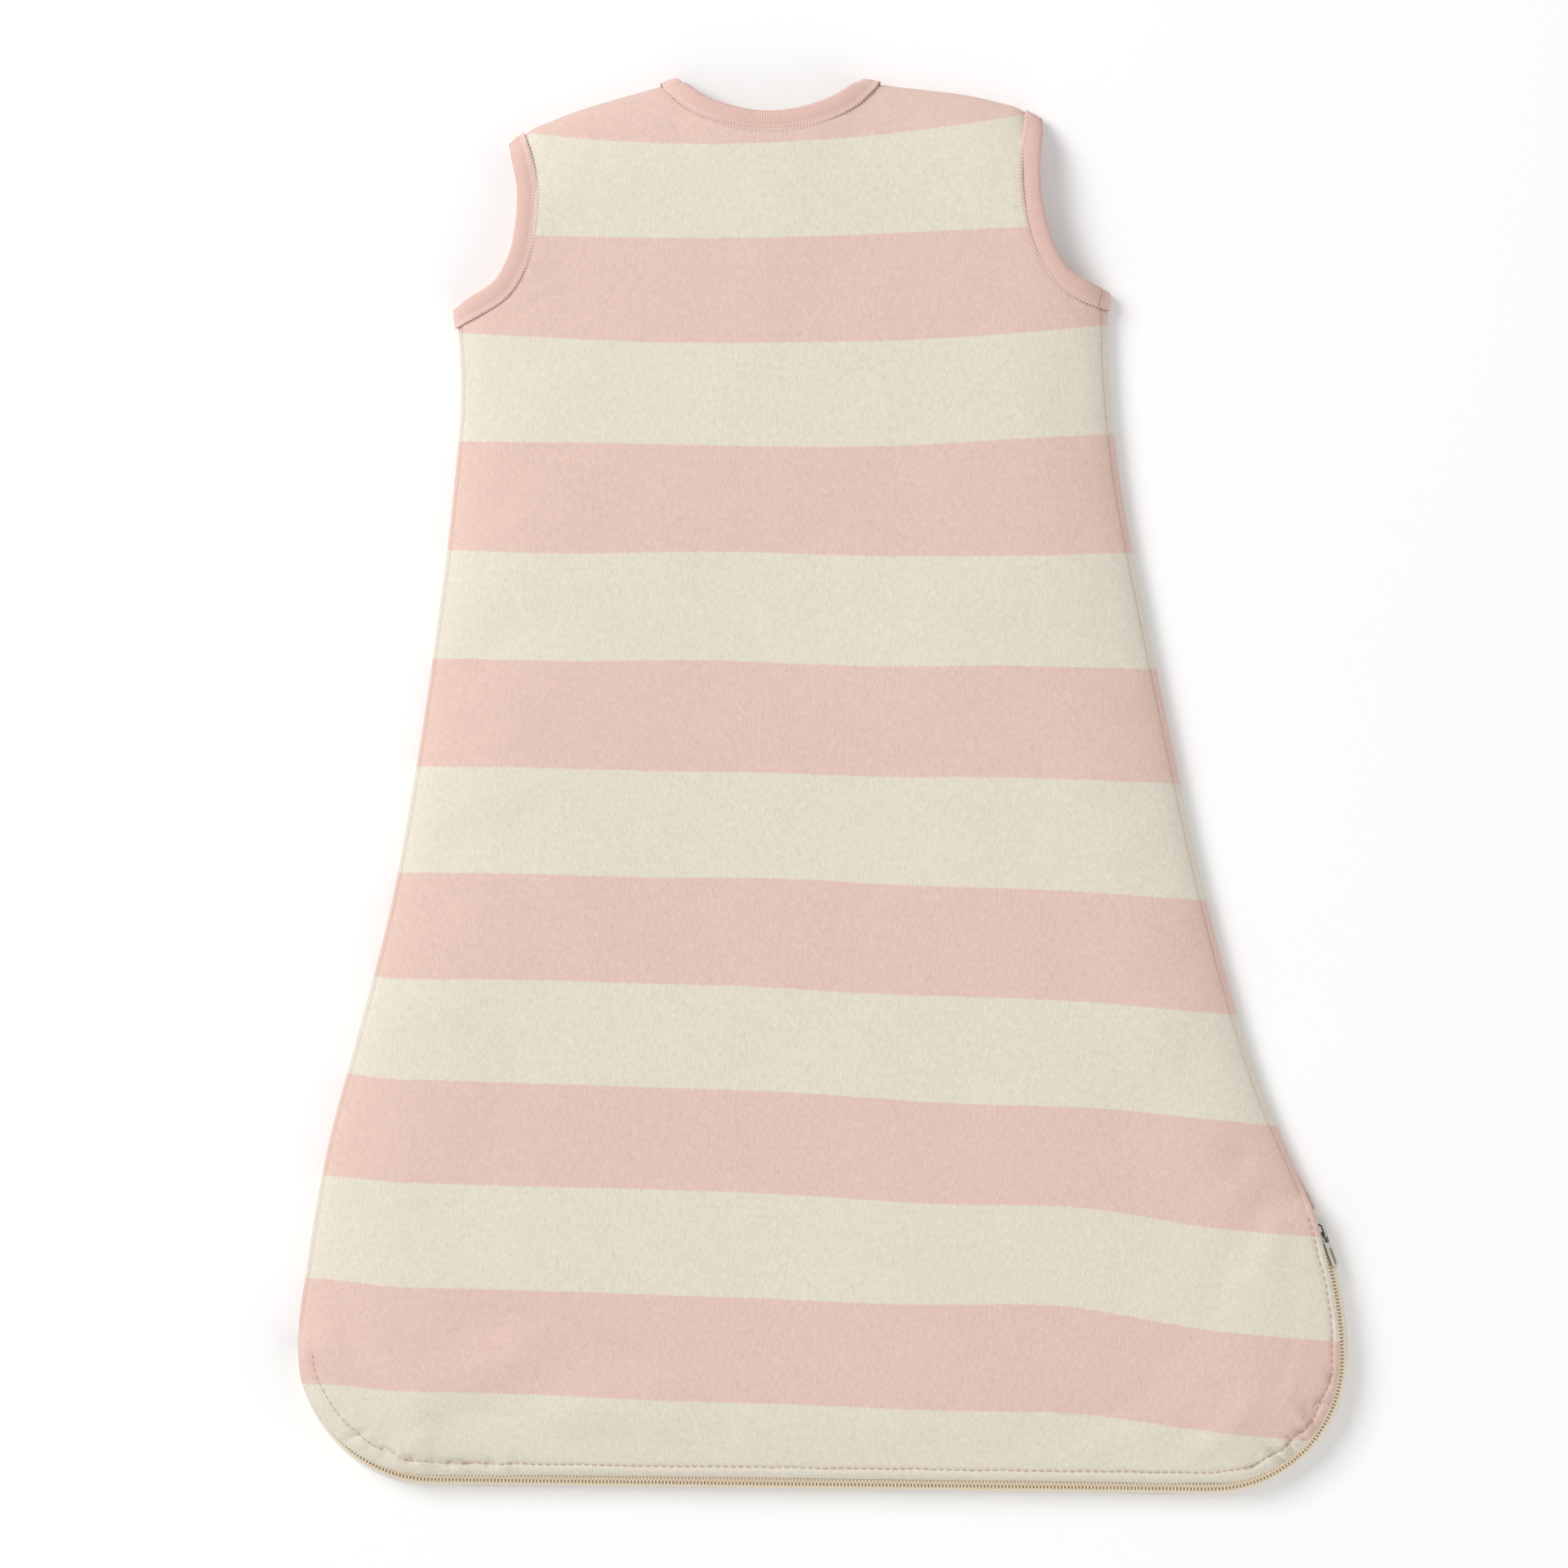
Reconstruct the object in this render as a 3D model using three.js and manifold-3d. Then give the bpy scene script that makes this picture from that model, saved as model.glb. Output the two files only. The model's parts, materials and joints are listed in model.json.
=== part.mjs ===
// A sleeveless baby sleeping bag with a zip from one side round the hem, lying flat with its back up.
// Millimetres. +Y points to the neck, +Z up, and the origin is on the floor under the bag's middle.
import * as THREE from "three";
import { mergeVertices } from "three/addons/utils/BufferGeometryUtils.js";
import Module from "manifold-3d";

const wasm = await Module();
wasm.setup();

const { degToRad, lerp, clamp } = THREE.MathUtils;
const at = (x, y) => new THREE.Vector2(x, y);
const towards = (angle) => at(Math.cos(angle), Math.sin(angle));

// Cloth: each panel is a shell, a thin wadding and a lining.
const shellThickness = 0.9;
const waddingThickness = 3.8;
const liningThickness = 0.7;
const underShell = 0.5; // room between shell and wadding
const underWadding = 0.4;
const waddingInset = 8.5; // from a closed seam
const bindingThickness = 3.6;
const bindingClearance = 0.4;
const bindingTaper = 0.85; // towards 1, the rim is thinner
const bindingDrop = 0.5; // its middle lies below the back shell by this

// How the bag stands up from the floor
const backHeight = 19.1; // underside of the back shell, in the middle
const seamHeight = 5.4; // the same at a side or shoulder seam
const zipTopHeight = 12.3; // the same above the zip
const frontLift = 3.6; // the front shell curls up to its seams by this
const domeWidth = 40; // over which the back rises from a seam
const curlWidth = 9;

// The zip's centre line runs down the right side, round both corners and along the hem.
const sideCentre = at(64.9, -244.8); // centre of the right side's arc, which the slider travels round
const sideTurn = degToRad(24);
const arc = (radius, degrees) => ({ radius, length: radius * degToRad(degrees) });
const zipLegs = [arc(156.4, 24), arc(54.4, 90.7), { length: 333.8 }, arc(54.4, 89.3), arc(150, 12)];
const legEnds = zipLegs.map((leg, i) => zipLegs.slice(0, i + 1).reduce((sum, l) => sum + l.length, 0));
const rightCorner = legEnds[0] + zipLegs[1].length / 2;
const leftCorner = legEnds[2] + zipLegs[3].length / 2;
const zipEnd = legEnds[3];
const zipHeight = 7.4;
const zipTilt = degToRad(50); // the chain faces outward and up
const frontFold = 3.6; // edge of the front panel, outside the centre line
const backFold = -3.6; // edge of the back panel, inside it
const gapeRun = 30; // the panels close up over this length past the zip's ends

// Chain, tapes and slider
const coilInner = 0.6; // each coil row, from the centre line outward
const coilOuter = 3.0;
const coilHalfThickness = 1.15;
const tapeStart = 3.3;
const tapeBend = 4.9;
const tapeThickness = 0.5;
const backTapeEnd = at(-9.6, 13.05); // outward from the centre line, and above the floor
const frontTapeRun = [at(3.05, 2.5), at(2.3, 1.7), at(-2.9, 1.6)];
const guardRun = [at(-5.6, 6.9), at(-18, 8)]; // cloth behind the chain
const guardThickness = 0.6;
const guardShort = 2; // of each end of the zip
const stopStart = 0.5;
const stopLength = 2.8;
const bottomStopStart = zipEnd - 5;
const coilStart = 4.1;
const coilEnd = zipEnd - 2 * stopLength;
const sliderPark = 10; // the closed slider's middle, from the start of the zip
const sliderNose = 6.2;
const sliderTail = -5.6;
const plateInside = 1.6;
const plateOutside = 2.4;
const pullPivot = at(-1.0, 3.2); // along the zip, and above the chain's middle
const pullThickness = 1.0;
const pullLength = 16;

// Labels inside the bag
const neckLabelSize = [34, 16, 0.5];
const neckLabelPlace = [-22, 262, 12.9];
const careLabelSize = [24, 36, 0.5];
const careLabelPlace = [-140, 60, 7.6];

// A point at a distance along the zip's line and at an offset outward from it
function alongZip(distance, offset = 0) {
  let angle = sideTurn;
  let left = distance;
  const here = sideCentre.clone().addScaledVector(towards(angle), zipLegs[0].radius);
  for (const leg of zipLegs) {
    const step = Math.min(left, leg.length);
    if (leg.radius) {
      here.addScaledVector(towards(angle), -leg.radius);
      angle -= step / leg.radius;
      here.addScaledVector(towards(angle), leg.radius);
    } else {
      here.addScaledVector(towards(angle - Math.PI / 2), step);
    }
    left -= step;
    if (left <= 0) break;
  }
  return { point: here.addScaledVector(towards(angle), offset), out: towards(angle) };
}

// Edges of the panels, as the bag lies
const spline = (...points) => new THREE.SplineCurve(points.map(([x, y]) => at(x, y)));
const rightSide = [[197.6, -152.3], [181.1, -110], [169.9, -68], [155.9, -12], [144.7, 44], [133.2, 100],
  [124.1, 156], [122, 206]];
const leftSide = [[-214.7, -166], [-204.6, -124], [-192.3, -82], [-182.9, -40], [-173.1, 16], [-161.2, 100],
  [-155.2, 165], [-156.3, 198.5]];
const rightArmhole = spline([122, 206], [106.2, 211.8], [95.7, 222.6], [89.1, 237.3], [85.6, 255.9],
  [85.6, 272], [88, 290.2]);
const leftArmhole = spline([-156.3, 198.5], [-136, 210.7], [-127.2, 225.4], [-123.6, 243], [-123.7, 261.8],
  [-128.6, 280.4]);
const leftShoulder = spline([-128.6, 280.4], [-109, 288.8], [-90.8, 294.6], [-72, 300.2]);
const rightShoulder = spline([26.5, 301.2], [44, 299.2], [67, 296], [88, 290.2]);
const backNeck = spline([-72, 300.2], [-55, 290.6], [-38, 283.8], [-21.9, 282.1], [-1, 285.8], [13, 292.6],
  [26.5, 301.2]);
const frontNeck = spline([-72, 300.2], [-66, 276], [-50, 258], [-23, 250], [5, 258], [20, 276],
  [26.5, 301.2]);

// Outer edges of the bindings, which run beside the panels' edges above
const rightArmholeRim = spline([122, 214], [110.5, 217.6], [103.4, 224.4], [96.4, 238.4], [93.3, 253.8],
  [92.8, 270], [95, 286.3]);
const leftArmholeRim = spline([-153.8, 206.5], [-146.9, 212], [-137, 222], [-132.3, 234], [-131.3, 248],
  [-134.2, 264], [-136.3, 274]);
const backNeckRim = spline([-64, 302.8], [-50, 297.2], [-34, 291.6], [-22, 290.2], [-4, 294.2], [7.5, 299.6],
  [18.4, 302.8]);
const frontNeckRim = spline([-64, 302.8], [-58.5, 279.5], [-44.6, 264.2], [-23, 258.2], [-0.6, 264.2],
  [12.6, 279.5], [18.4, 302.8]);

// Places of the panels' nodes along each edge, as shares of it
const shoulderShares = [0, 0.3, 0.57, 0.79, 0.93, 1];
const neckShares = [0, 0.14, 0.32, 0.5, 0.68, 0.86, 1];
const cornerShares = [0, 0.1, 0.22, 0.4, 0.6, 0.8, 1];
const sideShares = [0, 0.05, 0.14, 0.26, 0.4, 0.54, 0.68, 0.82, 0.94, 1];
const armholeShares = [0, 0.1, 0.25, 0.42, 0.6, 0.78, 0.92, 1];
const neckFrom = 0.3; // share of the width
const cornerTo = 0.14; // share of the height
const armholeFrom = 0.85;
const fromTo = (shares, a, b) => shares.map((share) => lerp(a, b, share));
const fromEnd = (shares) => shares.map((share) => 1 - share).reverse();
const columns = [
  ...fromTo(fromEnd(shoulderShares), 0, neckFrom),
  ...fromTo(neckShares, neckFrom, 1 - neckFrom).slice(1),
  ...fromTo(shoulderShares, 1 - neckFrom, 1).slice(1),
];
const rows = [
  ...fromTo(cornerShares, 0, cornerTo),
  ...fromTo(sideShares, cornerTo, armholeFrom).slice(1),
  ...fromTo(armholeShares, armholeFrom, 1).slice(1),
];

// One panel: a grid of nodes between its four edges, and the distance of any point to its closed seams
function panel(fold, neck) {
  const zipNode = (s) => alongZip(s, fold).point;
  const right = spline(zipNode(0).toArray(), ...rightSide);
  const left = spline(zipNode(legEnds[4]).toArray(), ...leftSide);
  const onCurve = (curve, shares) => shares.map((share) => curve.getPointAt(share));
  const rightCornerRun = fromTo(cornerShares, rightCorner, 0);
  const leftCornerRun = fromTo(cornerShares, leftCorner, legEnds[4]);
  const hemRun = columns.map((u) => lerp(leftCorner, rightCorner, u));
  const rightEdge = [
    ...rightCornerRun.map(zipNode),
    ...onCurve(right, sideShares).slice(1),
    ...onCurve(rightArmhole, armholeShares).slice(1),
  ];
  const leftEdge = [
    ...leftCornerRun.map(zipNode),
    ...onCurve(left, sideShares).slice(1),
    ...onCurve(leftArmhole, armholeShares).slice(1),
  ];
  const hem = hemRun.map(zipNode);
  const top = [
    ...onCurve(leftShoulder, fromEnd(shoulderShares)),
    ...onCurve(neck, neckShares).slice(1),
    ...onCurve(rightShoulder, shoulderShares).slice(1),
  ];

  // Closed seams, each with how far the zip holds the panels apart there, from 0 to 1
  const past = (length) => clamp(1 - length / gapeRun, 0, 1);
  const closed = [
    hem.map((point) => ({ point, gape: 1 })),
    rightCornerRun.map((s) => ({ point: zipNode(s), gape: 1 })),
    leftCornerRun.map((s) => ({ point: zipNode(s), gape: past(s - zipEnd) })),
    sideShares.map((share) => ({ point: right.getPointAt(share), gape: past(share * right.getLength()) })),
    sideShares.map((share) => ({ point: left.getPointAt(share), gape: 0 })),
    onCurve(leftShoulder, fromEnd(shoulderShares)).map((point) => ({ point, gape: 0 })),
    onCurve(rightShoulder, shoulderShares).map((point) => ({ point, gape: 0 })),
  ];
  function nearestSeam(point) {
    let best = { distance: Infinity };
    for (const run of closed) {
      for (let i = 1; i < run.length; i++) {
        const along = run[i].point.clone().sub(run[i - 1].point);
        const t = clamp(point.clone().sub(run[i - 1].point).dot(along) / along.lengthSq(), 0, 1);
        const foot = run[i - 1].point.clone().addScaledVector(along, t);
        const distance = foot.distanceTo(point);
        if (distance < best.distance) best = { distance, foot, gape: lerp(run[i - 1].gape, run[i].gape, t) };
      }
    }
    return best;
  }

  // Each edge's own shape is carried inward by its share of the way across.
  function node(i, j) {
    const [u, v] = [columns[i], rows[j]];
    const across = leftEdge[j].clone().lerp(rightEdge[j], u);
    const up = hem[i].clone().lerp(top[i], v);
    const low = leftEdge[0].clone().lerp(rightEdge[0], u);
    const high = leftEdge.at(-1).clone().lerp(rightEdge.at(-1), u);
    return across.add(up).sub(low.lerp(high, v));
  }
  return { node, nearestSeam };
}

const backPanel = panel(backFold, backNeck);
const frontPanel = panel(frontFold, frontNeck);

// Heights of the shells above the floor at a distance from a closed seam
function dome(share) {
  return Math.sqrt(1 - (1 - clamp(share, 0, 1)) ** 2);
}
function backUnderside({ distance, gape }) {
  const rim = lerp(seamHeight, zipTopHeight, gape);
  return rim + (backHeight - rim) * dome(distance / domeWidth);
}
function frontUnderside({ distance, gape }) {
  return frontLift * (1 - gape) * (1 - dome(distance / curlWidth));
}
function waddingAt({ distance }) {
  return waddingThickness * dome(distance / (2 * waddingInset));
}

// Closed geometry whose points are moved to where a function of their old place says
function reshape(geometry, place) {
  geometry.deleteAttribute("normal");
  geometry.deleteAttribute("uv");
  const position = geometry.getAttribute("position");
  const point = new THREE.Vector3();
  for (let i = 0; i < position.count; i++) {
    point.fromBufferAttribute(position, i);
    position.setXYZ(i, ...place(point.x, point.y, point.z));
  }
  const merged = mergeVertices(geometry, 1e-4);
  merged.computeVertexNormals();
  return merged;
}

// A box whose top and bottom are cut into triangles the same way, so that stacked sheets stay apart
function sheetBox(across, along) {
  const box = new THREE.BoxGeometry(1, 1, 1, across, along, 1);
  const bottom = box.groups[5];
  for (let n = bottom.start; n < bottom.start + bottom.count; n += 6) {
    const [a, b, d, , c] = box.index.array.slice(n, n + 5);
    box.index.array.set([a, b, c, a, c, d], n);
  }
  return box;
}

// One cloth layer of a panel between two heights, left short of the closed seams by an inset
function layer(cloth, inset, low, high) {
  const rings = inset > 0 ? 1 : 0;
  const across = columns.length - 1 - 2 * rings;
  const along = rows.length - 1 - 2 * rings;
  const further = (n, count) => clamp(n, rings + 1, rings + count - 1);
  return reshape(sheetBox(across, along), (x, y, z) => {
    const i = rings + Math.round((x + 0.5) * across);
    const j = rings + Math.round((y + 0.5) * along);
    const point = cloth.node(i, j);
    const inward = cloth.node(further(i, across), further(j, along));
    const seam = cloth.nearestSeam(point);
    const nextSeam = cloth.nearestSeam(inward);
    const missing = inset - seam.distance;
    const share = missing > 0 ? clamp(missing / (nextSeam.distance - seam.distance), 0, 0.9) : 0;
    const height = z < 0 ? low : high;
    point.lerp(inward, share);
    return [point.x, point.y, lerp(height(seam), height(nextSeam), share)];
  });
}

const backShell = layer(backPanel, 0, backUnderside, (seam) => backUnderside(seam) + shellThickness);
const backWaddingTop = (seam) => backUnderside(seam) - underShell;
const backWaddingLow = (seam) => backWaddingTop(seam) - waddingAt(seam);
const backLiningTop = (seam) => backWaddingLow(seam) - underWadding;
const backWadding = layer(backPanel, waddingInset, backWaddingLow, backWaddingTop);
const backLiningLow = (seam) => backLiningTop(seam) - liningThickness;
const backLining = layer(backPanel, waddingInset, backLiningLow, backLiningTop);

const frontShellTop = (seam) => frontUnderside(seam) + shellThickness;
const frontWaddingLow = (seam) => frontShellTop(seam) + underShell;
const frontWaddingTop = (seam) => frontWaddingLow(seam) + waddingAt(seam);
const frontLiningLow = (seam) => frontWaddingTop(seam) + underWadding;
const frontShell = layer(frontPanel, 0, frontUnderside, frontShellTop);
const frontWadding = layer(frontPanel, waddingInset, frontWaddingLow, frontWaddingTop);
const frontLiningTop = (seam) => frontLiningLow(seam) + liningThickness;
const frontLining = layer(frontPanel, waddingInset, frontLiningLow, frontLiningTop);

function toSolid(geometry) {
  const plain = geometry.index ? geometry.toNonIndexed() : geometry.clone();
  plain.deleteAttribute("normal");
  plain.deleteAttribute("uv");
  const merged = mergeVertices(plain, 1e-4);
  return new wasm.Manifold(
    new wasm.Mesh({
      numProp: 3,
      vertProperties: merged.getAttribute("position").array,
      triVerts: new Uint32Array(merged.index.array),
    }),
  );
}
function join(...geometries) {
  const mesh = geometries.map(toSolid).reduce((whole, next) => whole.add(next)).getMesh();
  const geometry = new THREE.BufferGeometry();
  geometry.setAttribute("position", new THREE.BufferAttribute(mesh.vertProperties, 3));
  geometry.setIndex(new THREE.BufferAttribute(mesh.triVerts, 1));
  geometry.computeVertexNormals();
  return geometry;
}

// Half of a binding: a folded strip from a panel's edge out to its rim, thinner at the rim
function bindingHalf(cloth, edge, rim, shares, middle) {
  const acrossSteps = 3;
  return reshape(new THREE.BoxGeometry(1, 1, 1, shares.length - 1, acrossSteps, 1), (x, y, z) => {
    const share = shares[Math.round((x + 0.5) * (shares.length - 1))];
    const w = y + 0.5;
    const inner = edge.getPointAt(share);
    const outer = rim.getPointAt(share);
    const half = (bindingThickness / 2) * Math.sqrt(1 - (bindingTaper * w) ** 4);
    const start = outer.clone().sub(inner).setLength(bindingClearance).add(inner);
    const point = start.lerp(outer, w);
    return [point.x, point.y, middle(cloth.nearestSeam(inner)) + Math.sign(z) * half];
  });
}
const backBindingMiddle = (seam) => backUnderside(seam) - bindingDrop;
const frontBindingMiddle = (seam) => (bindingThickness + frontUnderside(seam)) / 2;
function binding(backEdge, backRim, frontEdge, frontRim, shares) {
  return join(
    bindingHalf(backPanel, backEdge, backRim, shares, backBindingMiddle),
    bindingHalf(frontPanel, frontEdge, frontRim, shares, frontBindingMiddle),
  );
}

// Straight pieces are first made along Z from 0 to 1, and then laid along the zip.
function stations(from, to) {
  const cornerStep = 9;
  const hemStep = 42;
  const list = [from];
  legEnds.forEach((end, i) => {
    const start = Math.max(from, end - zipLegs[i].length);
    const stop = Math.min(to, end);
    const count = Math.ceil((stop - start) / (zipLegs[i].radius ? cornerStep : hemStep));
    for (let n = 1; n <= count; n++) list.push(lerp(start, stop, n / count));
  });
  return list;
}
function sweep(profile, from, to) {
  const places = stations(from, to);
  const steps = places.length - 1;
  const settings = { depth: 1, steps, bevelEnabled: false };
  return reshape(new THREE.ExtrudeGeometry(new THREE.Shape(profile), settings), (x, y, z) => {
    const { point, out } = alongZip(places[Math.round(z * steps)], x);
    return [point.x, point.y, y];
  });
}
// A point beside the chain's middle: x towards the front panel, n out of the chain's face
function onChain(x, n = 0) {
  return at(
    x * Math.cos(zipTilt) + n * Math.sin(zipTilt),
    zipHeight - x * Math.sin(zipTilt) + n * Math.cos(zipTilt),
  );
}
function coilRow(side) {
  const middle = (side * (coilInner + coilOuter)) / 2;
  const half = (coilOuter - coilInner) / 2;
  const flat = 0.5;
  const profile = [
    onChain(middle - half, -flat), onChain(middle, -coilHalfThickness), onChain(middle + half, -flat),
    onChain(middle + half, flat), onChain(middle, coilHalfThickness), onChain(middle - half, flat),
  ];
  return sweep(profile, coilStart, coilEnd);
}
function stripProfile(line, thickness) {
  const half = thickness / 2;
  const side = (sign) => line.map((point, i) => {
    const before = line[Math.max(i - 1, 0)];
    const after = line[Math.min(i + 1, line.length - 1)];
    const normal = after.clone().sub(before).normalize().rotateAround(at(0, 0), Math.PI / 2);
    return point.clone().addScaledVector(normal, sign * half);
  });
  return [...side(1), ...side(-1).reverse()];
}
const backTapeLine = [onChain(-tapeStart), onChain(-tapeBend), backTapeEnd];
const frontTapeLine = [onChain(tapeStart), onChain(tapeBend), ...frontTapeRun];
function tape(line) {
  const shortBy = 0.4;
  return sweep(stripProfile(line, tapeThickness), shortBy, zipEnd - shortBy);
}
function stopBlock(from, to, start, halfThickness) {
  const profile = [
    onChain(from, -halfThickness), onChain(to, -halfThickness), onChain(to, halfThickness),
    onChain(from, halfThickness),
  ];
  return sweep(profile, start, start + stopLength);
}

// Slider, in its own frame: x across the chain, y towards the closed end, z out of the chain's face
function extruded(points, from, to) {
  const settings = { depth: to - from, bevelEnabled: false };
  return new THREE.ExtrudeGeometry(new THREE.Shape(points), settings).translate(0, 0, from);
}
function sliderBody() {
  const bite = 0.05; // so that joined pieces share volume
  const mirrored = (half) => [...half, ...half.map((p) => at(-p.x, p.y)).reverse()];
  const plate = mirrored([at(3.8, sliderTail), at(4.5, 0), at(4.5, 3.9), at(3.1, 5.5), at(1.2, sliderNose)]);
  const flange = (side) => {
    const points = [at(3.4, -5.4), at(3.75, -5.4), at(4.4, 0), at(4.4, 3.6), at(3.7, 3.6), at(3.6, 0)];
    return side > 0 ? points : points.map((p) => at(-p.x, p.y)).reverse();
  };
  const slit = 0.6; // half of the gap that the tapes run in
  const crownHalfWidth = 0.9;
  const wedge = mirrored([at(0.05, 2.4), at(0.3, 3.2), at(0.3, 5), at(0.05, 5.5)]);
  const crown = mirrored([at(2.2, plateOutside - bite), at(2.2, 3.7), at(1.9, 4)]).reverse();
  const crownOuter = mirrored([at(3.2, plateOutside - bite), at(3.2, 3.8), at(2.3, 4.9)]);
  const turned = extruded([...crownOuter, ...crown], -crownHalfWidth, crownHalfWidth).applyMatrix4(
    new THREE.Matrix4().makeBasis(
      new THREE.Vector3(0, 1, 0), new THREE.Vector3(0, 0, 1), new THREE.Vector3(1, 0, 0),
    ),
  );
  return join(
    extruded(plate, plateInside, plateOutside),
    extruded(plate, -plateOutside, -plateInside),
    ...[1, -1].flatMap((side) => [
      extruded(flange(side), slit, plateInside + bite),
      extruded(flange(side), -plateInside - bite, -slit),
    ]),
    extruded(wedge, -plateInside - bite, plateInside + bite),
    turned,
  );
}
// Pull, in a frame at its pivot: it lies along -y, with an eye round the crown and a slot at its end
function pullTab() {
  const top = 0.45;
  const chamfer = 0.3;
  const eyeHalf = 2.4;
  const tabRadius = 2.3;
  const slotRadius = 1.1;
  const outline = new THREE.Shape();
  outline.moveTo(eyeHalf, top - chamfer);
  outline.lineTo(eyeHalf, -4.2);
  outline.quadraticCurveTo(1.7, -6.2, tabRadius, -8.4);
  outline.lineTo(tabRadius, tabRadius - pullLength);
  outline.absarc(0, tabRadius - pullLength, tabRadius, 0, -Math.PI, true);
  outline.lineTo(-tabRadius, -8.4);
  outline.quadraticCurveTo(-1.7, -6.2, -eyeHalf, -4.2);
  outline.lineTo(-eyeHalf, top - chamfer);
  outline.lineTo(chamfer - eyeHalf, top);
  outline.lineTo(eyeHalf - chamfer, top);
  outline.closePath();
  const eye = new THREE.Path([at(-1.5, -0.45), at(-1.5, -4.1), at(-1, -4.7), at(1, -4.7), at(1.5, -4.1),
    at(1.5, -0.45)]);
  const slot = new THREE.Path();
  slot.absarc(0, -8, slotRadius, 0, Math.PI, false);
  slot.absarc(0, 2.6 - pullLength, slotRadius, Math.PI, 2 * Math.PI, false);
  outline.holes.push(eye, slot);
  const settings = { depth: pullThickness, bevelEnabled: false, curveSegments: 5 };
  return new THREE.ExtrudeGeometry(outline, settings).translate(0, 0, -pullThickness / 2);
}

const bag = new THREE.Group();
function add(parent, name, geometry, color, roughness = 0.95, metalness = 0) {
  const mesh = new THREE.Mesh(geometry, new THREE.MeshStandardMaterial({ color, roughness, metalness }));
  mesh.name = name;
  parent.add(mesh);
  return mesh;
}
const cream = 0xe9e1d2;
const pink = 0xe3c1b6;
const lining = 0xefe8dc;
const tapeColour = 0xcdbea5;
const nickel = 0xc4c3c0;
const labelColour = 0xf3efe6;

add(bag, "back_shell", backShell, cream);
add(bag, "back_wadding", backWadding, 0xf6f4ef);
add(bag, "back_lining", backLining, lining);
add(bag, "front_shell", frontShell, cream);
add(bag, "front_wadding", frontWadding, 0xf4f1eb);
add(bag, "front_lining", frontLining, lining);
add(bag, "neck_binding", binding(backNeck, backNeckRim, frontNeck, frontNeckRim, neckShares), pink);
const fromTip = [...armholeShares].reverse();
add(bag, "right_armhole_binding",
  binding(rightArmhole, rightArmholeRim, rightArmhole, rightArmholeRim, fromTip), pink);
add(bag, "left_armhole_binding",
  binding(leftArmhole, leftArmholeRim, leftArmhole, leftArmholeRim, armholeShares), pink);

add(bag, "zip_tape_back", tape(backTapeLine), tapeColour, 0.9);
add(bag, "zip_tape_front", tape(frontTapeLine), tapeColour, 0.9);
add(bag, "zip_coil_back", coilRow(-1), tapeColour, 0.5);
add(bag, "zip_coil_front", coilRow(1), tapeColour, 0.5);
const guard = sweep(stripProfile(guardRun, guardThickness), guardShort, zipEnd - guardShort);
add(bag, "zip_guard", guard, lining);
add(bag, "top_stop_back", stopBlock(-3, -0.5, stopStart, 1.35), nickel, 0.35, 0.9);
add(bag, "top_stop_front", stopBlock(0.5, 3, stopStart, 1.35), nickel, 0.35, 0.9);
add(bag, "bottom_stop", stopBlock(-3, 3, bottomStopStart, 1.5), nickel, 0.35, 0.9);

const parked = alongZip(sliderPark);
const downTheZip = new THREE.Vector3(parked.out.y, -parked.out.x, 0);
const acrossChain = new THREE.Vector3(parked.out.x, parked.out.y, 0)
  .multiplyScalar(Math.cos(zipTilt))
  .add(new THREE.Vector3(0, 0, -Math.sin(zipTilt)));
const faceNormal = new THREE.Vector3().crossVectors(downTheZip, acrossChain);
const slider = new THREE.Group();
slider.quaternion.setFromRotationMatrix(
  new THREE.Matrix4().makeBasis(acrossChain, downTheZip.clone().negate(), faceNormal),
);
slider.position.set(parked.point.x, parked.point.y, zipHeight);
bag.add(slider);
add(slider, "slider_body", sliderBody(), nickel, 0.3, 0.95);
const pull = new THREE.Group();
pull.position.set(0, pullPivot.x, pullPivot.y);
slider.add(pull);
add(pull, "pull_tab", pullTab(), nickel, 0.3, 0.95);

const neckLabel = add(bag, "neck_label", new THREE.BoxGeometry(...neckLabelSize), labelColour, 0.8);
neckLabel.position.set(...neckLabelPlace);
const careLabel = add(bag, "care_label", new THREE.BoxGeometry(...careLabelSize), labelColour, 0.8);
careLabel.position.set(...careLabelPlace);

export default bag;
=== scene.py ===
import json
import math

import bmesh
import bpy
import numpy as np
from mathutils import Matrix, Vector, noise
from mathutils.bvhtree import BVHTree


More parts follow.
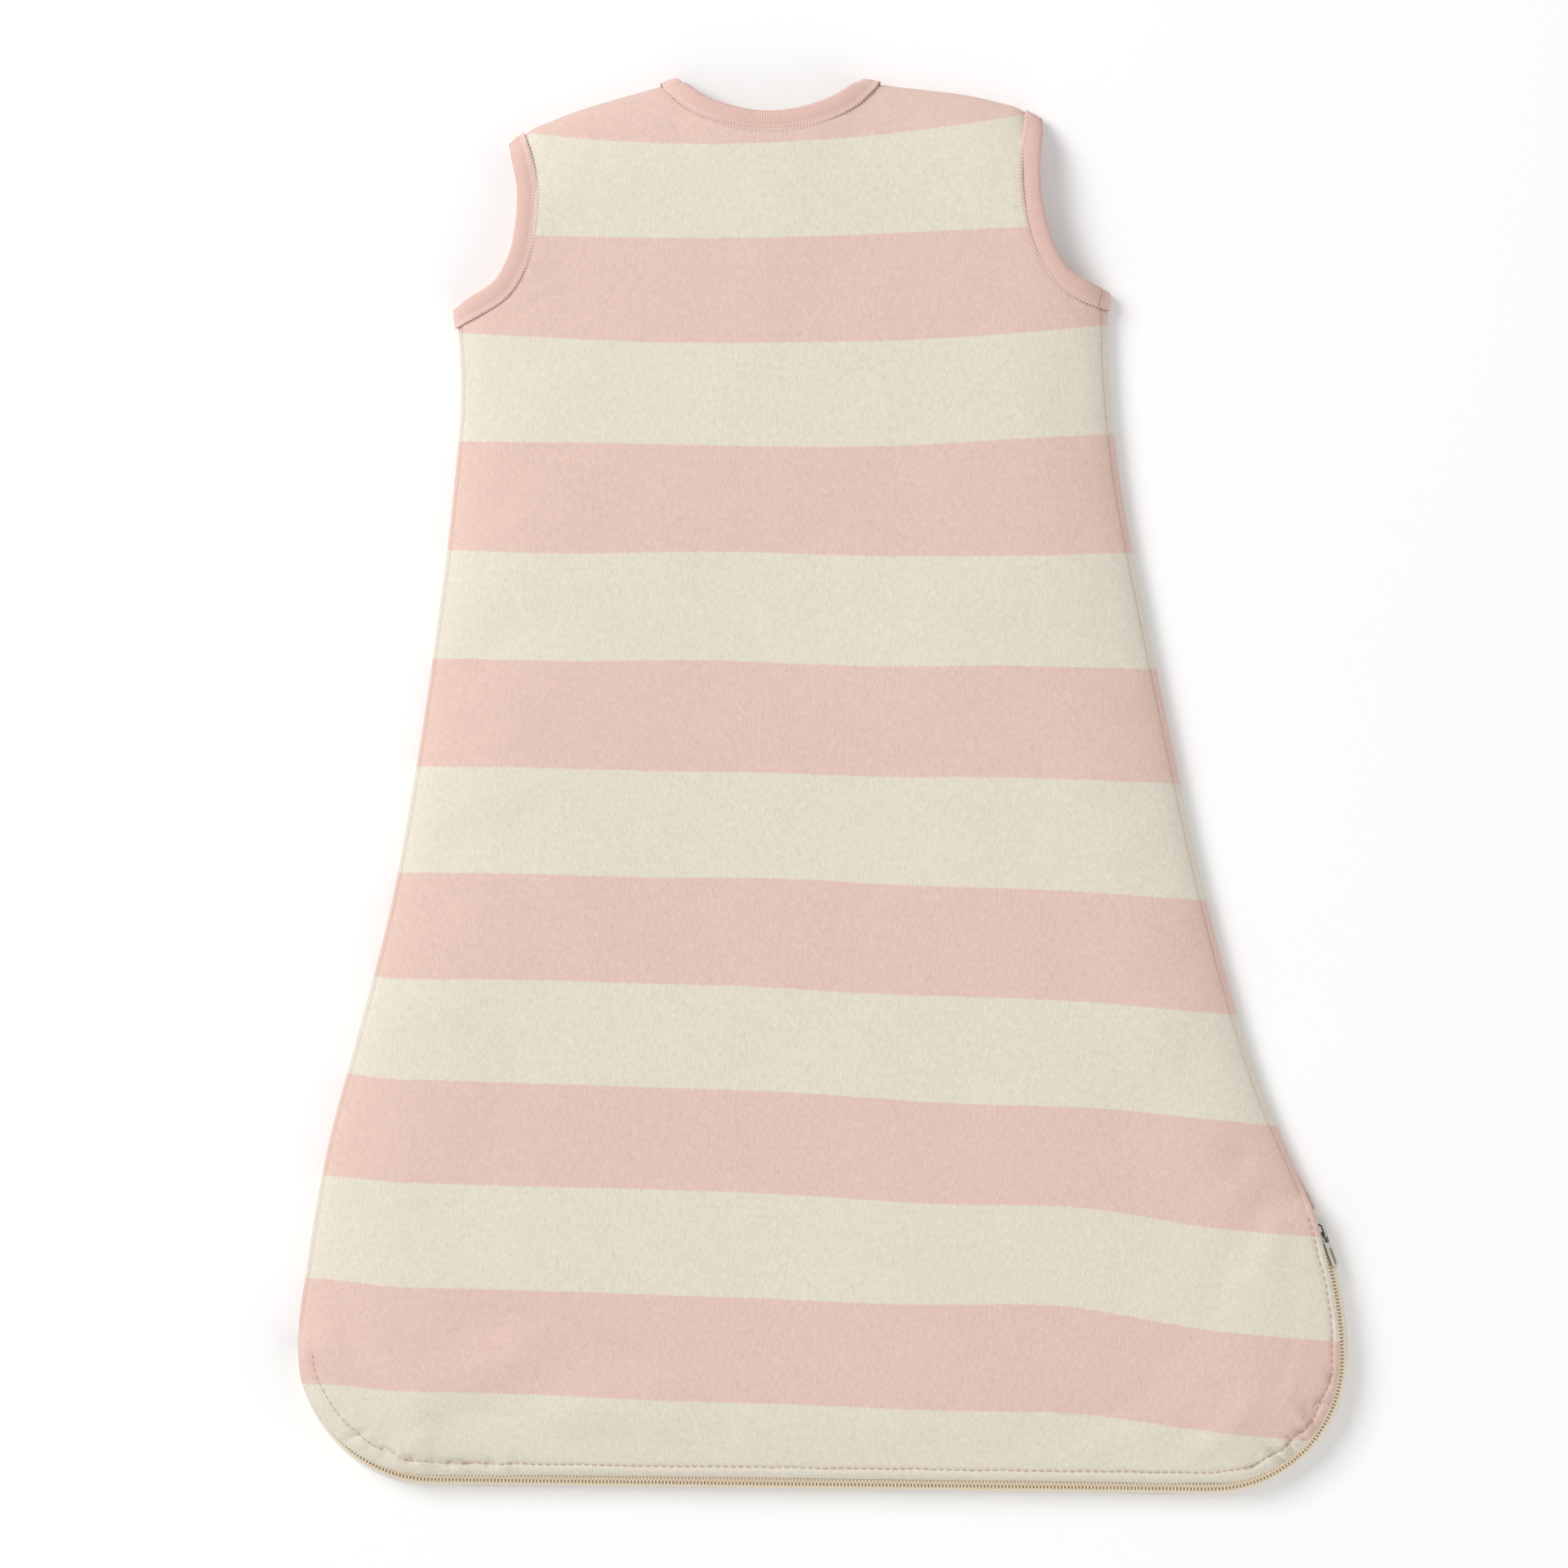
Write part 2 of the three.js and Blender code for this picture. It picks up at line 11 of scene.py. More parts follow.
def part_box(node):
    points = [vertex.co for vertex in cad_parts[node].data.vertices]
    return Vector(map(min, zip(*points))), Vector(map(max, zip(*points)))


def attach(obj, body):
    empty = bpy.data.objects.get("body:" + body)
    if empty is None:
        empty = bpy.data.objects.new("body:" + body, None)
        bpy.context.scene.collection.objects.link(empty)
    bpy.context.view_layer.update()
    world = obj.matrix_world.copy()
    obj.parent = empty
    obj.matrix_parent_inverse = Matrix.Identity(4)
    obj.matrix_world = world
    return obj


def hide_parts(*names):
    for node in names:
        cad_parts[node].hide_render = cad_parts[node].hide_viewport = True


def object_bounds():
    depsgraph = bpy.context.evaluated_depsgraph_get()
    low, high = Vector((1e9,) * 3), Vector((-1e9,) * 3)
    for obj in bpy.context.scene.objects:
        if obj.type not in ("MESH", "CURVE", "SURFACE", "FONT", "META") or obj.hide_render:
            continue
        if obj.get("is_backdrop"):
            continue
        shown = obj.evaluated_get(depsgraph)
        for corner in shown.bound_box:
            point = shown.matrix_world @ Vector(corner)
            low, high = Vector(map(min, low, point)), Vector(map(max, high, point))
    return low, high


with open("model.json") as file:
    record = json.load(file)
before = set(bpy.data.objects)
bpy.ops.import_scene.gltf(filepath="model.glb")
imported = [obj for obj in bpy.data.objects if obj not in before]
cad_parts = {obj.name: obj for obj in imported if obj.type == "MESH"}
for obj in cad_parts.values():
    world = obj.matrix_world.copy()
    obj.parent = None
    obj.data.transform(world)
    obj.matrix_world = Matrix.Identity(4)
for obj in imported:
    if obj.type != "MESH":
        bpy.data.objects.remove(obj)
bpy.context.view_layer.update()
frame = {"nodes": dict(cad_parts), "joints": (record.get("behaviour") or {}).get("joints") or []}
mm = 0.001
print("frame loaded:", len(frame["nodes"]), "nodes")

# The zip's line, which most pieces follow
sliderJoint = next(j for j in frame["joints"] if j["name"] == "zip_slider_travel")
zipLine = {
    "centre": sliderJoint["pos_m"][:2],  # of the right side's arc, which the slider travels round
    "height": sliderJoint["pos_m"][2],
    "startAngle": 24,  # degrees
    "legs": [(156.4, 24), (54.4, 90.7), (333.8, None), (54.4, 89.3), (150, 12)],  # mm and degrees, or mm
    "tilt": 50,  # degrees, the chain's face leans outward
}


# s, x, y and the outward direction, every half millimetre along the zip's centre line
def zipTable(step=0.5 * mm):
    angle = math.radians(zipLine["startAngle"])
    x, y = zipLine["centre"]
    first = zipLine["legs"][0][0] * mm
    x, y, s = x + first * math.cos(angle), y + first * math.sin(angle), 0
    rows, ends = [(0, x, y, math.cos(angle), math.sin(angle))], []
    for size, degrees in zipLine["legs"]:
        length = size * mm * (math.radians(degrees) if degrees else 1)
        count = max(1, round(length / step))
        for _ in range(count):
            if degrees:
                turn = math.radians(degrees) / count
                x += size * mm * (math.cos(angle - turn) - math.cos(angle))
                y += size * mm * (math.sin(angle - turn) - math.sin(angle))
                angle -= turn
            else:
                x += length / count * math.sin(angle)
                y -= length / count * math.cos(angle)
            s += length / count
            rows.append((s, x, y, math.cos(angle), math.sin(angle)))
        ends.append(s)
    return np.array(rows), ends


zipRows, legEnds = zipTable()
zipEnd = legEnds[3]


# Plan points at distances along the zip and offsets outward from it
def alongZip(s, offset=0.0):
    s = np.asarray(s, float)
    x, y, ox, oy = (np.interp(s, zipRows[:, 0], zipRows[:, k]) for k in (1, 2, 3, 4))
    past = s - np.clip(s, 0, legEnds[4])  # straight on past the ends
    return np.stack([x + ox * offset + oy * past, y + oy * offset - ox * past], -1)


# A point beside the chain's middle, as offset and height: x towards the front panel, n out of its face
def onChain(x, n=0.0):
    tilt = math.radians(zipLine["tilt"])
    return (
        x * math.cos(tilt) + n * math.sin(tilt),
        zipLine["height"] / mm - x * math.sin(tilt) + n * math.cos(tilt),
    )


# Distances along a line of points
def reachOf(line):
    return np.concatenate([[0], np.cumsum(np.linalg.norm(np.diff(line, axis=0), axis=1))])


def smooth(t):
    t = np.clip(t, 0, 1)
    return t * t * (3 - 2 * t)


def dome(t):
    return np.sqrt(1 - (1 - np.clip(t, 0, 1)) ** 2)


# Points on a smooth curve through knots, at fractions of their index, with corners where it kinks
def through(knots, t, kinks=()):
    knots, t = np.asarray(knots, float), np.asarray(t, float)
    out = np.empty(t.shape + knots.shape[1:])
    stops = [0, *kinks, len(knots) - 1]
    for a, b in zip(stops, stops[1:]):
        part = knots[a : b + 1]
        chord = np.maximum(np.linalg.norm(np.diff(part, axis=0), axis=-1), 1e-9)
        chord = chord.reshape(len(chord), *[1] * (part.ndim - 1))
        slope = np.diff(part, axis=0) / chord
        tangent = np.empty_like(part)
        middle = (slope[:-1] * chord[1:] + slope[1:] * chord[:-1]) / (chord[1:] + chord[:-1])
        tangent[1:-1] = middle
        tangent[0] = (3 * slope[0] - tangent[1]) / 2 if len(part) > 2 else slope[0]
        tangent[-1] = (3 * slope[-1] - tangent[-2]) / 2 if len(part) > 2 else slope[-1]
        inside = (t >= a) & (t <= b)
        local = t[inside] - a
        i = np.minimum(local.astype(int), len(chord) - 1)
        f = (local - i).reshape(-1, *[1] * (part.ndim - 1))
        out[inside] = (
            (1 + 2 * f) * (1 - f) ** 2 * part[i]
            + f * (1 - f) ** 2 * chord[i] * tangent[i]
            + f * f * (3 - 2 * f) * part[i + 1]
            - f * f * (1 - f) * chord[i] * tangent[i + 1]
        )
    return out


# Distance from plan points to a polyline, and how far along it the nearest place is
def toRun(points, run):
    flat = points.reshape(-1, 2)
    best, along = np.full(len(flat), 1e9), np.zeros(len(flat))
    start, step = run[:-1], np.diff(run, axis=0)
    length = np.linalg.norm(step, axis=1)
    before = np.concatenate([[0], np.cumsum(length)[:-1]])
    for k in range(0, len(flat), 4000):
        p = flat[k : k + 4000, None] - start
        t = np.clip((p * step).sum(-1) / np.maximum(length**2, 1e-18), 0, 1)
        d = np.linalg.norm(p - t[..., None] * step, axis=-1)
        n = d.argmin(1)
        rows = np.arange(len(n))
        best[k : k + 4000] = d[rows, n]
        along[k : k + 4000] = before[n] + t[rows, n] * length[n]
    return best.reshape(points.shape[:-1]), along.reshape(points.shape[:-1])


# Plan of the two panels, read from the CAD shells' edges
panelNodes = {
    "columns": 16,
    "rows": 22,
    "neck": (5, 11),  # corners on the top edge
    # mm, by the column of a node on the top edge
    "cornerShift": {5: (4.0, 0.8), 11: (-3.3, 0.3), 0: (0.2, -1.3), 16: (-0.2, -1.3)},
    "frontShift": {6: (4.2, 0.0), 10: (-3.0, 0.0)},  # the front panel's only
    "zipTo": 6,  # on each side edge, where the zip's part ends
    "underarm": 15,
    "gapeRun": (13, 6),  # mm over which the panels close up past the zip's left and right ends
}
# The back panel's fold stands out over the chain: mm from the centre line, along the zip
foldLine = {
    "s": [0, 20, 85, 110, 160, 430, 480, 505, 528, 544, 557, 602],
    "back": [2.3, 0.5, 0.0, -0.9, -1.6, -1.6, -1.2, -0.2, 1.2, 2.6, 3.4, 3.7],
}


def edgeLoop(node, upward, cadFold):
    bm = bmesh.new()
    bm.from_mesh(frame["nodes"][node].data)
    bmesh.ops.remove_doubles(bm, verts=bm.verts, dist=0.01 * mm)
    away = [f for f in bm.faces if f.normal.z * upward < 0.2]
    bmesh.ops.delete(bm, geom=away, context="FACES")
    corner = alongZip((legEnds[2] + legEnds[3]) / 2, cadFold * mm)
    here = min((v for v in bm.verts if v.is_boundary), key=lambda v: math.dist(v.co[:2], corner))
    edge = max(
        (e for e in here.link_edges if e.is_boundary), key=lambda e: (e.other_vert(here).co - here.co).x
    )
    loop = [here.co.to_2d()]
    while True:
        here = edge.other_vert(here)
        loop.append(here.co.to_2d())
        edge = next(e for e in here.link_edges if e.is_boundary and e is not edge)
        if len(loop) > 2 * (panelNodes["columns"] + panelNodes["rows"]):
            break
    bm.free()
    return np.array(loop)


def makePanel(node, upward, cadFold, foldOffsets, matching=None):
    columns, rows = panelNodes["columns"], panelNodes["rows"]
    loop = edgeLoop(node, upward, cadFold)
    distance, s = toRun(loop, zipRows[:, 1:3])
    onZip = distance < abs(cadFold * mm) + 0.2 * mm
    wanted = np.interp(s, np.array(foldLine["s"]) * mm, foldOffsets) * mm
    moved = alongZip(s) + (alongZip(s, 1) - alongZip(s)) * wanted[:, None]
    loop = np.where(onZip[:, None], moved, loop)
    shifts = panelNodes["cornerShift"] | (panelNodes["frontShift"] if upward < 0 else {})
    for corner, shift in shifts.items():
        loop[2 * columns + rows - corner] += np.array(shift) * mm
    if matching:  # both panels have the same edge where a side seam joins them
        low, high = columns + panelNodes["zipTo"], columns + panelNodes["underarm"]
        loop[low + 1 : high + 1] = matching["loop"][low + 1 : high + 1]
        low, high = len(loop) - 1 - (high - columns), len(loop) - 1 - (low - columns)
        loop[low:high] = matching["loop"][low:high]
    hem, right = loop[: columns + 1], loop[columns : columns + rows + 1]
    top = loop[columns + rows : 2 * columns + rows + 1][::-1]
    left = loop[2 * columns + rows :][::-1]
    arm, neck = [panelNodes["underarm"]], panelNodes["neck"]

    def shareOf(line):
        length = reachOf(line)
        return length / length[-1]

    across, along = shareOf(hem), (shareOf(left) + shareOf(right)) / 2

    # Plan points at column t and row r, each a fraction of the CAD grid's index
    def place(t, r):
        u = np.interp(t, range(columns + 1), across)[..., None]
        v = np.interp(r, range(rows + 1), along)[..., None]
        flatSides = (1 - u) * through(left, r, arm) + u * through(right, r, arm)
        flatEnds = (1 - v) * through(hem, t) + v * through(top, t, neck)
        corners = (1 - v) * ((1 - u) * hem[0] + u * hem[-1]) + v * ((1 - u) * top[0] + u * top[-1])
        return flatSides + flatEnds - corners

    # Part of an edge, in fine steps from one of its nodes to another
    def part(line, start, end, kinks=()):
        fine = np.linspace(0, 1, 12, endpoint=False)
        steps = np.append((np.arange(start, end)[:, None] + fine).ravel(), end)
        return through(line, steps, kinks)

    seams = {
        "bottom": np.concatenate([
            part(left, 0, arm[0], arm)[::-1],
            part(hem, 0, columns)[1:],
            part(right, 0, arm[0], arm)[1:],
        ]),
        "leftShoulder": part(top, 0, neck[0], neck),
        "rightShoulder": part(top, neck[1], columns, neck),
    }
    edges = {
        "neck": part(top, *neck, neck),
        "leftArm": part(left, arm[0], rows, arm),
        "rightArm": part(right, arm[0], rows, arm),
    }

    def toward(start, end):
        return (end - start) / np.linalg.norm(end - start)

    tips = {"neck": (toward(top[neck[0] - 1], top[neck[0]]), toward(top[neck[1] + 1], top[neck[1]]))}
    for side, line, shoulder in (("leftArm", left, top[:2]), ("rightArm", right, top[-2:][::-1])):
        tips[side] = (toward(line[arm[0] - 1], line[arm[0]]), toward(shoulder[1], shoulder[0]))
    _, sBottom = toRun(seams["bottom"], zipRows[:, 1:3])
    half = len(seams["bottom"]) // 2
    reach = reachOf(seams["bottom"])
    zipFrom = reach[np.argmin(abs(sBottom[:half] - zipEnd))]
    zipTo = reach[half + np.argmin(sBottom[half:])]

    # Distances of plan points to the seams, the zip and the open edges, and how far the zip gapes
    def field(points):
        low, where = toRun(points, seams["bottom"])
        shoulder = np.minimum(*(toRun(points, seams[k])[0] for k in ("leftShoulder", "rightShoulder")))
        leftRun, rightRun = panelNodes["gapeRun"]
        beyond = np.maximum((zipFrom - where) / leftRun, (where - zipTo) / rightRun) / mm
        gape = 1 - smooth(np.clip(beyond, 0, 1))
        return {
            "seam": np.minimum(low, shoulder),
            "bottom": low,
            "gape": np.where(low < shoulder, gape, 0),
            "onZip": 1 - smooth(np.clip(0.72 * beyond + 0.2, 0, 1)),
            "s": toRun(points, zipRows[:, 1:3])[1],
            "open": np.min([toRun(points, edges[k])[0] for k in edges], axis=0),
            "rightSide": where > zipTo,
        }

    return {"place": place, "field": field, "edges": edges, "tips": tips, "loop": loop}


frontPlan = makePanel("front_shell", -1, 3.6, [3.6] * len(foldLine["s"]))
backPlan = makePanel("back_shell", 1, -3.6, foldLine["back"], frontPlan)
print("panels' plans read from the CAD shells")

# Heights in mm above the floor
loft = {
    "top": 19.9,  # of the back, in the middle
    "seam": 5.0,  # where the two panels meet
    "overZip": 14.0,
    "domeWidth": 40,
    "curlWidth": 9,
    "shell": 0.9,
    "lining": 0.5,
    "wadding": 3.8,
    "inset": 8.5,
}
# The topstitch inside the fold: its distance from it along the zip, its groove and the ridge outside it
topstitch = {
    "s": [0, 60, 108, 160, 430, 470, 505, 545, 600],
    "inset": [3.1, 3.2, 5.6, 4.6, 4.7, 5.0, 7.0, 7.6, 5.0],
    "depth": 0.55,
    "width": 0.8,
    "ridge": 0.3,
    "wander": 1.6,  # at the corners, where it puckers
    "puckers": [74, 86, 95, 103, 110, 119, 131, 448, 461, 470, 478, 486, 497, 509, 524],
    "pucker": 2.3,
}
sideSeam = {"right": 2.7, "left": 1.5, "depth": 0.55, "width": 0.45}  # groove, in from each side's edge
# Soft folds: from, to, half width and height, in mm
softFolds = [
    (-178, -262, -118, -238, 11, 2.5),
    (-150, -226, -70, -252, 13, -2.2),
    (-118, -268, -62, -256, 12, 1.9),
    (-196, -246, -160, -288, 7, 2.2),
    (-206, -230, -178, -270, 7, -1.9),
    (-172, -283, -140, -292, 5, 0.8),
    (186, -262, 158, -290, 6, 1.6),
    (200, -246, 182, -272, 5, -0.8),
    (176, -160, 199, -150, 5, -1.6),
    (170, -176, 196, -166, 7, 0.6),
    (188, -204, 204, -168, 6, 0.7),
    (-118, 214, -66, 176, 14, -0.6),
    (78, 212, 40, 170, 14, -0.6),
    (-20, 272, -26, 190, 15, 0.5),
    (-60, 120, -84, 10, 22, 0.6),
    (40, 70, 66, -60, 24, 0.6),
    (-10, -40, 30, -190, 26, 0.7),
    (110, -60, 150, -210, 20, -0.6),
    (-110, -50, -150, -180, 20, -0.6),
]


def wave(points, size, seed):
    flat = points.reshape(-1, 2) / (size * mm)
    made = [noise.noise(Vector((x, y, seed))) for x, y in flat]
    return np.array(made).reshape(points.shape[:-1])


def foldHeight(points):
    total = np.zeros(points.shape[:-1])
    for x0, y0, x1, y1, width, height in softFolds:
        a, b = np.array([x0, y0]) * mm, np.array([x1, y1]) * mm
        along = np.clip(((points - a) @ (b - a)) / ((b - a) @ (b - a)), -0.3, 1.3)
        away = np.linalg.norm(points - a - along[..., None] * (b - a), axis=-1)
        fade = smooth((along + 0.3) / 0.5) * smooth((1.3 - along) / 0.5)
        total += height * fade * np.exp(-((away / (width * mm)) ** 2))
    return total


# How far inside the fold the topstitch runs at distances along the zip, and how much the cloth is
# gathered there by the corner
def stitchInset(s):
    s = np.asarray(s) / mm
    corner = np.exp(-(((s - 108) / 40) ** 2)) + np.exp(-(((s - 490) / 48) ** 2))
    drift = wave(np.stack([s * mm, 0 * s], -1), 13, 4.2) * (0.25 + corner)
    return np.interp(s, topstitch["s"], topstitch["inset"]) + topstitch["wander"] * drift, corner


def backOuter(points, at, puff=0.0):
    rim = loft["seam"] + (loft["overZip"] - loft["seam"]) * at["gape"]
    seam = at["seam"] / mm
    z = rim + (loft["top"] - rim) * dome(seam / loft["domeWidth"])
    inner = smooth((seam - 2) / 22)
    z += inner * (0.9 * wave(points, 62, 1.3) + 0.35 * wave(points, 24, 5.1) + foldHeight(points) + puff)
    inset, corner = stitchInset(at["s"])
    deep = topstitch["depth"] * (0.8 + 0.9 * wave(points, 9, 8.0) + 0.9 * corner)
    rays = corner * wave(np.stack([at["s"] * 2.2, at["bottom"] * 0.5], -1), 14, 2.0)
    low = at["bottom"] / mm
    z -= at["onZip"] * deep * np.exp(-np.abs((low - inset) / topstitch["width"]) ** 1.5)
    z += at["onZip"] * topstitch["ridge"] * np.exp(-(((low - 0.5 * inset) / (0.3 * inset)) ** 2))
    z += at["onZip"] * 2.4 * rays * np.exp(-(((low - inset - 1) / 7) ** 2))
    for k, place in enumerate(topstitch["puckers"]):  # short creases across the stitching
        lean = place + (0.35 if k % 2 else -0.45) * (low - inset)
        reach = np.exp(-(((low - inset) / (3.0 + 1.5 * (k % 3))) ** 2))
        z -= at["onZip"] * topstitch["pucker"] * reach * np.exp(-(((at["s"] / mm - lean) / 1.7) ** 2))
    side = np.where(at["rightSide"], sideSeam["right"], sideSeam["left"])
    opening = at["open"] / mm
    onSide = (1 - at["onZip"]) * np.where(at["bottom"] < at["seam"] + 1e-6, 1, 0)
    z -= onSide * sideSeam["depth"] * np.exp(-(((seam - side) / sideSeam["width"]) ** 2))
    z -= 0.45 * np.exp(-((opening / 2.6) ** 2))
    return z


def frontOuter(points, at):
    seam, opening = at["seam"] / mm, at["open"] / mm
    z = loft["seam"] * (1 - at["gape"]) * (1 - dome(seam / loft["curlWidth"]))
    z += 0.9 * np.exp(-((opening / 2.6) ** 2)) * (1 - smooth((z - 1) / 3))
    stitch = stitchInset(at["s"])[0] + 3
    z += at["onZip"] * 0.5 * np.exp(-(((at["bottom"] / mm - stitch) / 1.3) ** 2))
    z += 0.25 * smooth((seam - 12) / 20) * (1 + wave(points, 50, 9.5))
    return z


# Pieces of each CAD cell, finer near the seams
cuts = {
    "across": [12, 9, 9, 10, 11, 8, 8, 8, 8, 8, 8, 11, 10, 9, 9, 12],
    "along": [14, 12, 8, 6, 6, 6, 6, 10, 14, 16, 16, 16, 16, 14, 7, 4, 5, 6, 6, 6, 6, 10],
}


def fractions(counts):
    return np.concatenate([[0], *[i + np.arange(1, n + 1) / n for i, n in enumerate(counts)]])


def parameterGrid(acrossCuts, alongCuts):
    return np.meshgrid(fractions(acrossCuts), fractions(alongCuts))


def meshOf(bm, name):
    mesh = bpy.data.meshes.new(name)
    bm.to_mesh(mesh)
    bm.free()
    return mesh


def newObject(name, data):
    made = bpy.data.objects.new(name, data)
    bpy.context.scene.collection.objects.link(made)
    return made


# A mesh of a grid of points, given as [row, column], with a UV map and point values
def gridMesh(name, points, uv=None, values=None, weld=False, flip=False, cap=False):
    rows, columns = points.shape[:2]
    bm = bmesh.new()
    bmesh.ops.create_grid(bm, x_segments=columns - 1, y_segments=rows - 1, size=0.5)
    if flip:
        bmesh.ops.reverse_faces(bm, faces=bm.faces)
    mesh = meshOf(bm, name)
    co = np.empty(len(mesh.vertices) * 3)
    mesh.vertices.foreach_get("co", co)
    co = co.reshape(-1, 3)
    i = np.rint((co[:, 0] + 0.5) * (columns - 1)).astype(int)
    j = np.rint((co[:, 1] + 0.5) * (rows - 1)).astype(int)
    mesh.vertices.foreach_set("co", points[j, i].ravel())
    for key, table in (values or {}).items():
        layer = mesh.attributes.new(key, "FLOAT", "POINT")
        layer.data.foreach_set("value", table[j, i].astype(np.float32))
    if uv is not None:
        corner = np.empty(len(mesh.loops), np.int32)
        mesh.loops.foreach_get("vertex_index", corner)
        mesh.uv_layers.new(name="UVMap").data.foreach_set("uv", uv[j[corner], i[corner]].ravel())
    if weld or cap:
        bm = bmesh.new()
        bm.from_mesh(mesh)
        bmesh.ops.remove_doubles(bm, verts=bm.verts, dist=0.001 * mm)
        if cap:
            bmesh.ops.holes_fill(bm, edges=[e for e in bm.edges if e.is_boundary], sides=0)
            bmesh.ops.recalc_face_normals(bm, faces=bm.faces)
        bm.to_mesh(mesh)
        bm.free()
    return mesh


def addPiece(name, mesh, material, replaces=(), body="bag"):
    mesh.name = name
    mesh.materials.clear()
    mesh.materials.append(material)
    mesh.polygons.foreach_set("use_smooth", [True] * len(mesh.polygons))
    piece = newObject(name, mesh)
    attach(piece, body)
    if replaces:
        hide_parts(*replaces)
    return piece


def thicken(piece, thickness, offset=-1.0):
    solid = piece.modifiers.new("thickness", "SOLIDIFY")
    solid.thickness, solid.offset = thickness * mm, offset
    solid.use_even_offset = False


# Materials: a node helper, and the effects that several cloths share
class NodeMaker:
    def __init__(self, tree):
        self.tree = tree

    def add(self, kind, inputs=None, **settings):
        node = self.tree.nodes.new(kind)
        for key, value in settings.items():
            setattr(node, key, value)
        for key, value in (inputs or {}).items():
            if isinstance(value, bpy.types.NodeSocket):
                self.link(value, node.inputs[key])
            else:
                node.inputs[key].default_value = value
        return node

    def link(self, value, socket):
        self.tree.links.new(value, socket)

    def place(self):
        return self.add("ShaderNodeTexCoord").outputs["Object"]

    def given(self, name):
        return self.add("ShaderNodeAttribute", attribute_name=name).outputs["Fac"]

    def math(self, operation, a, b=0.0, clamp=False):
        made = self.add("ShaderNodeMath", {0: a, 1: b}, operation=operation, use_clamp=clamp)
        return made.outputs[0]

    def plus(self, a, b, clamp=False):
        return self.math("ADD", a, b, clamp)

    def minus(self, a, b):
        return self.math("SUBTRACT", a, b)

    def times(self, a, b):
        return self.math("MULTIPLY", a, b)

    def mix(self, factor, a, b, blend="MIX"):
        node = self.add("ShaderNodeMix", data_type="RGBA", blend_type=blend)
        for socket, value in zip((node.inputs[0], node.inputs[6], node.inputs[7]), (factor, a, b)):
            if isinstance(value, bpy.types.NodeSocket):
                self.link(value, socket)
            else:
                socket.default_value = value
        return node.outputs[2]

    def noise(self, vector, scale, detail=2.0, roughness=0.5):
        made = self.add("ShaderNodeTexNoise", {"Scale": scale, "Detail": detail, "Roughness": roughness})
        self.link(vector, made.inputs["Vector"])
        return made.outputs["Fac"]

    def bands(self, vector, scale, direction, distortion=0.0):
        inputs = {"Vector": vector, "Scale": scale, "Distortion": distortion}
        return self.add("ShaderNodeTexWave", inputs, bands_direction=direction).outputs["Fac"]

    def stretched(self, vector, scale):
        return self.add("ShaderNodeMapping", {"Vector": vector, "Scale": scale}).outputs[0]


def newGroup(name, inputs, outputs):
    group = bpy.data.node_groups.new(name, "ShaderNodeTree")
    kinds = {"c": "NodeSocketColor", "f": "NodeSocketFloat", "v": "NodeSocketVector"}
    for socket, kind, value in inputs:
        made = group.interface.new_socket(socket, in_out="INPUT", socket_type=kinds[kind])
        if value is not None:
            made.default_value = value
    for socket, kind in outputs:
        group.interface.new_socket(socket, in_out="OUTPUT", socket_type=kinds[kind])
    make = NodeMaker(group)
    return group, make, make.add("NodeGroupInput").outputs, make.add("NodeGroupOutput").inputs


def srgb(r, g, b):
    return tuple(((v / 255 + 0.055) / 1.055) ** 2.4 if v > 10 else v / 3295 for v in (r, g, b)) + (1.0,)


# Brushed jersey: wales, heathered fibres and a faint nap
def jerseyGroup():
    group, make, given, out = newGroup(
        "brushedJersey",
        [
            ("Vector", "v", None), ("Color", "c", (1, 1, 1, 1)),
            ("Fleck", "f", 0.06), ("Wale", "f", 900.0),
        ],
        [("Color", "c"), ("Height", "f")],
    )
    place = given["Vector"]
    heather = make.noise(make.stretched(place, (1.0, 0.42, 1.0)), 1150.0, 3.0, 0.65)
    nap = make.noise(place, 420.0, 3.0, 0.6)
    blotch = make.noise(place, 16.0, 3.0, 0.55)
    fibre = make.noise(make.stretched(place, (1.0, 0.12, 1.0)), 2600.0, 2.0, 0.7)
    waleWave = make.add(
        "ShaderNodeTexWave",
        {"Vector": place, "Scale": 0.0, "Distortion": 2.2, "Detail": 2.0, "Detail Scale": 1.5},
        bands_direction="X",
    )
    make.link(given["Wale"], waleWave.inputs["Scale"])
    grain = make.plus(make.times(heather, 0.6), make.times(fibre, 0.4))
    shade = make.minus(grain, 0.5)
    shade = make.times(shade, make.times(given["Fleck"], 6.0))
    soft = make.times(make.minus(blotch, 0.5), 0.06)
    fuzz = make.times(make.minus(nap, 0.5), make.times(given["Fleck"], 1.6))
    total = make.plus(1.0, make.plus(shade, make.plus(soft, fuzz)))
    scaled = make.add("ShaderNodeVectorMath", {0: given["Color"]}, operation="SCALE")
    make.link(total, scaled.inputs["Scale"])
    make.link(scaled.outputs[0], out["Color"])
    height = make.plus(make.times(grain, 0.7), make.times(waleWave.outputs["Fac"], 0.2))
    height = make.plus(height, make.times(nap, 0.5))
    make.link(height, out["Height"])
    return group


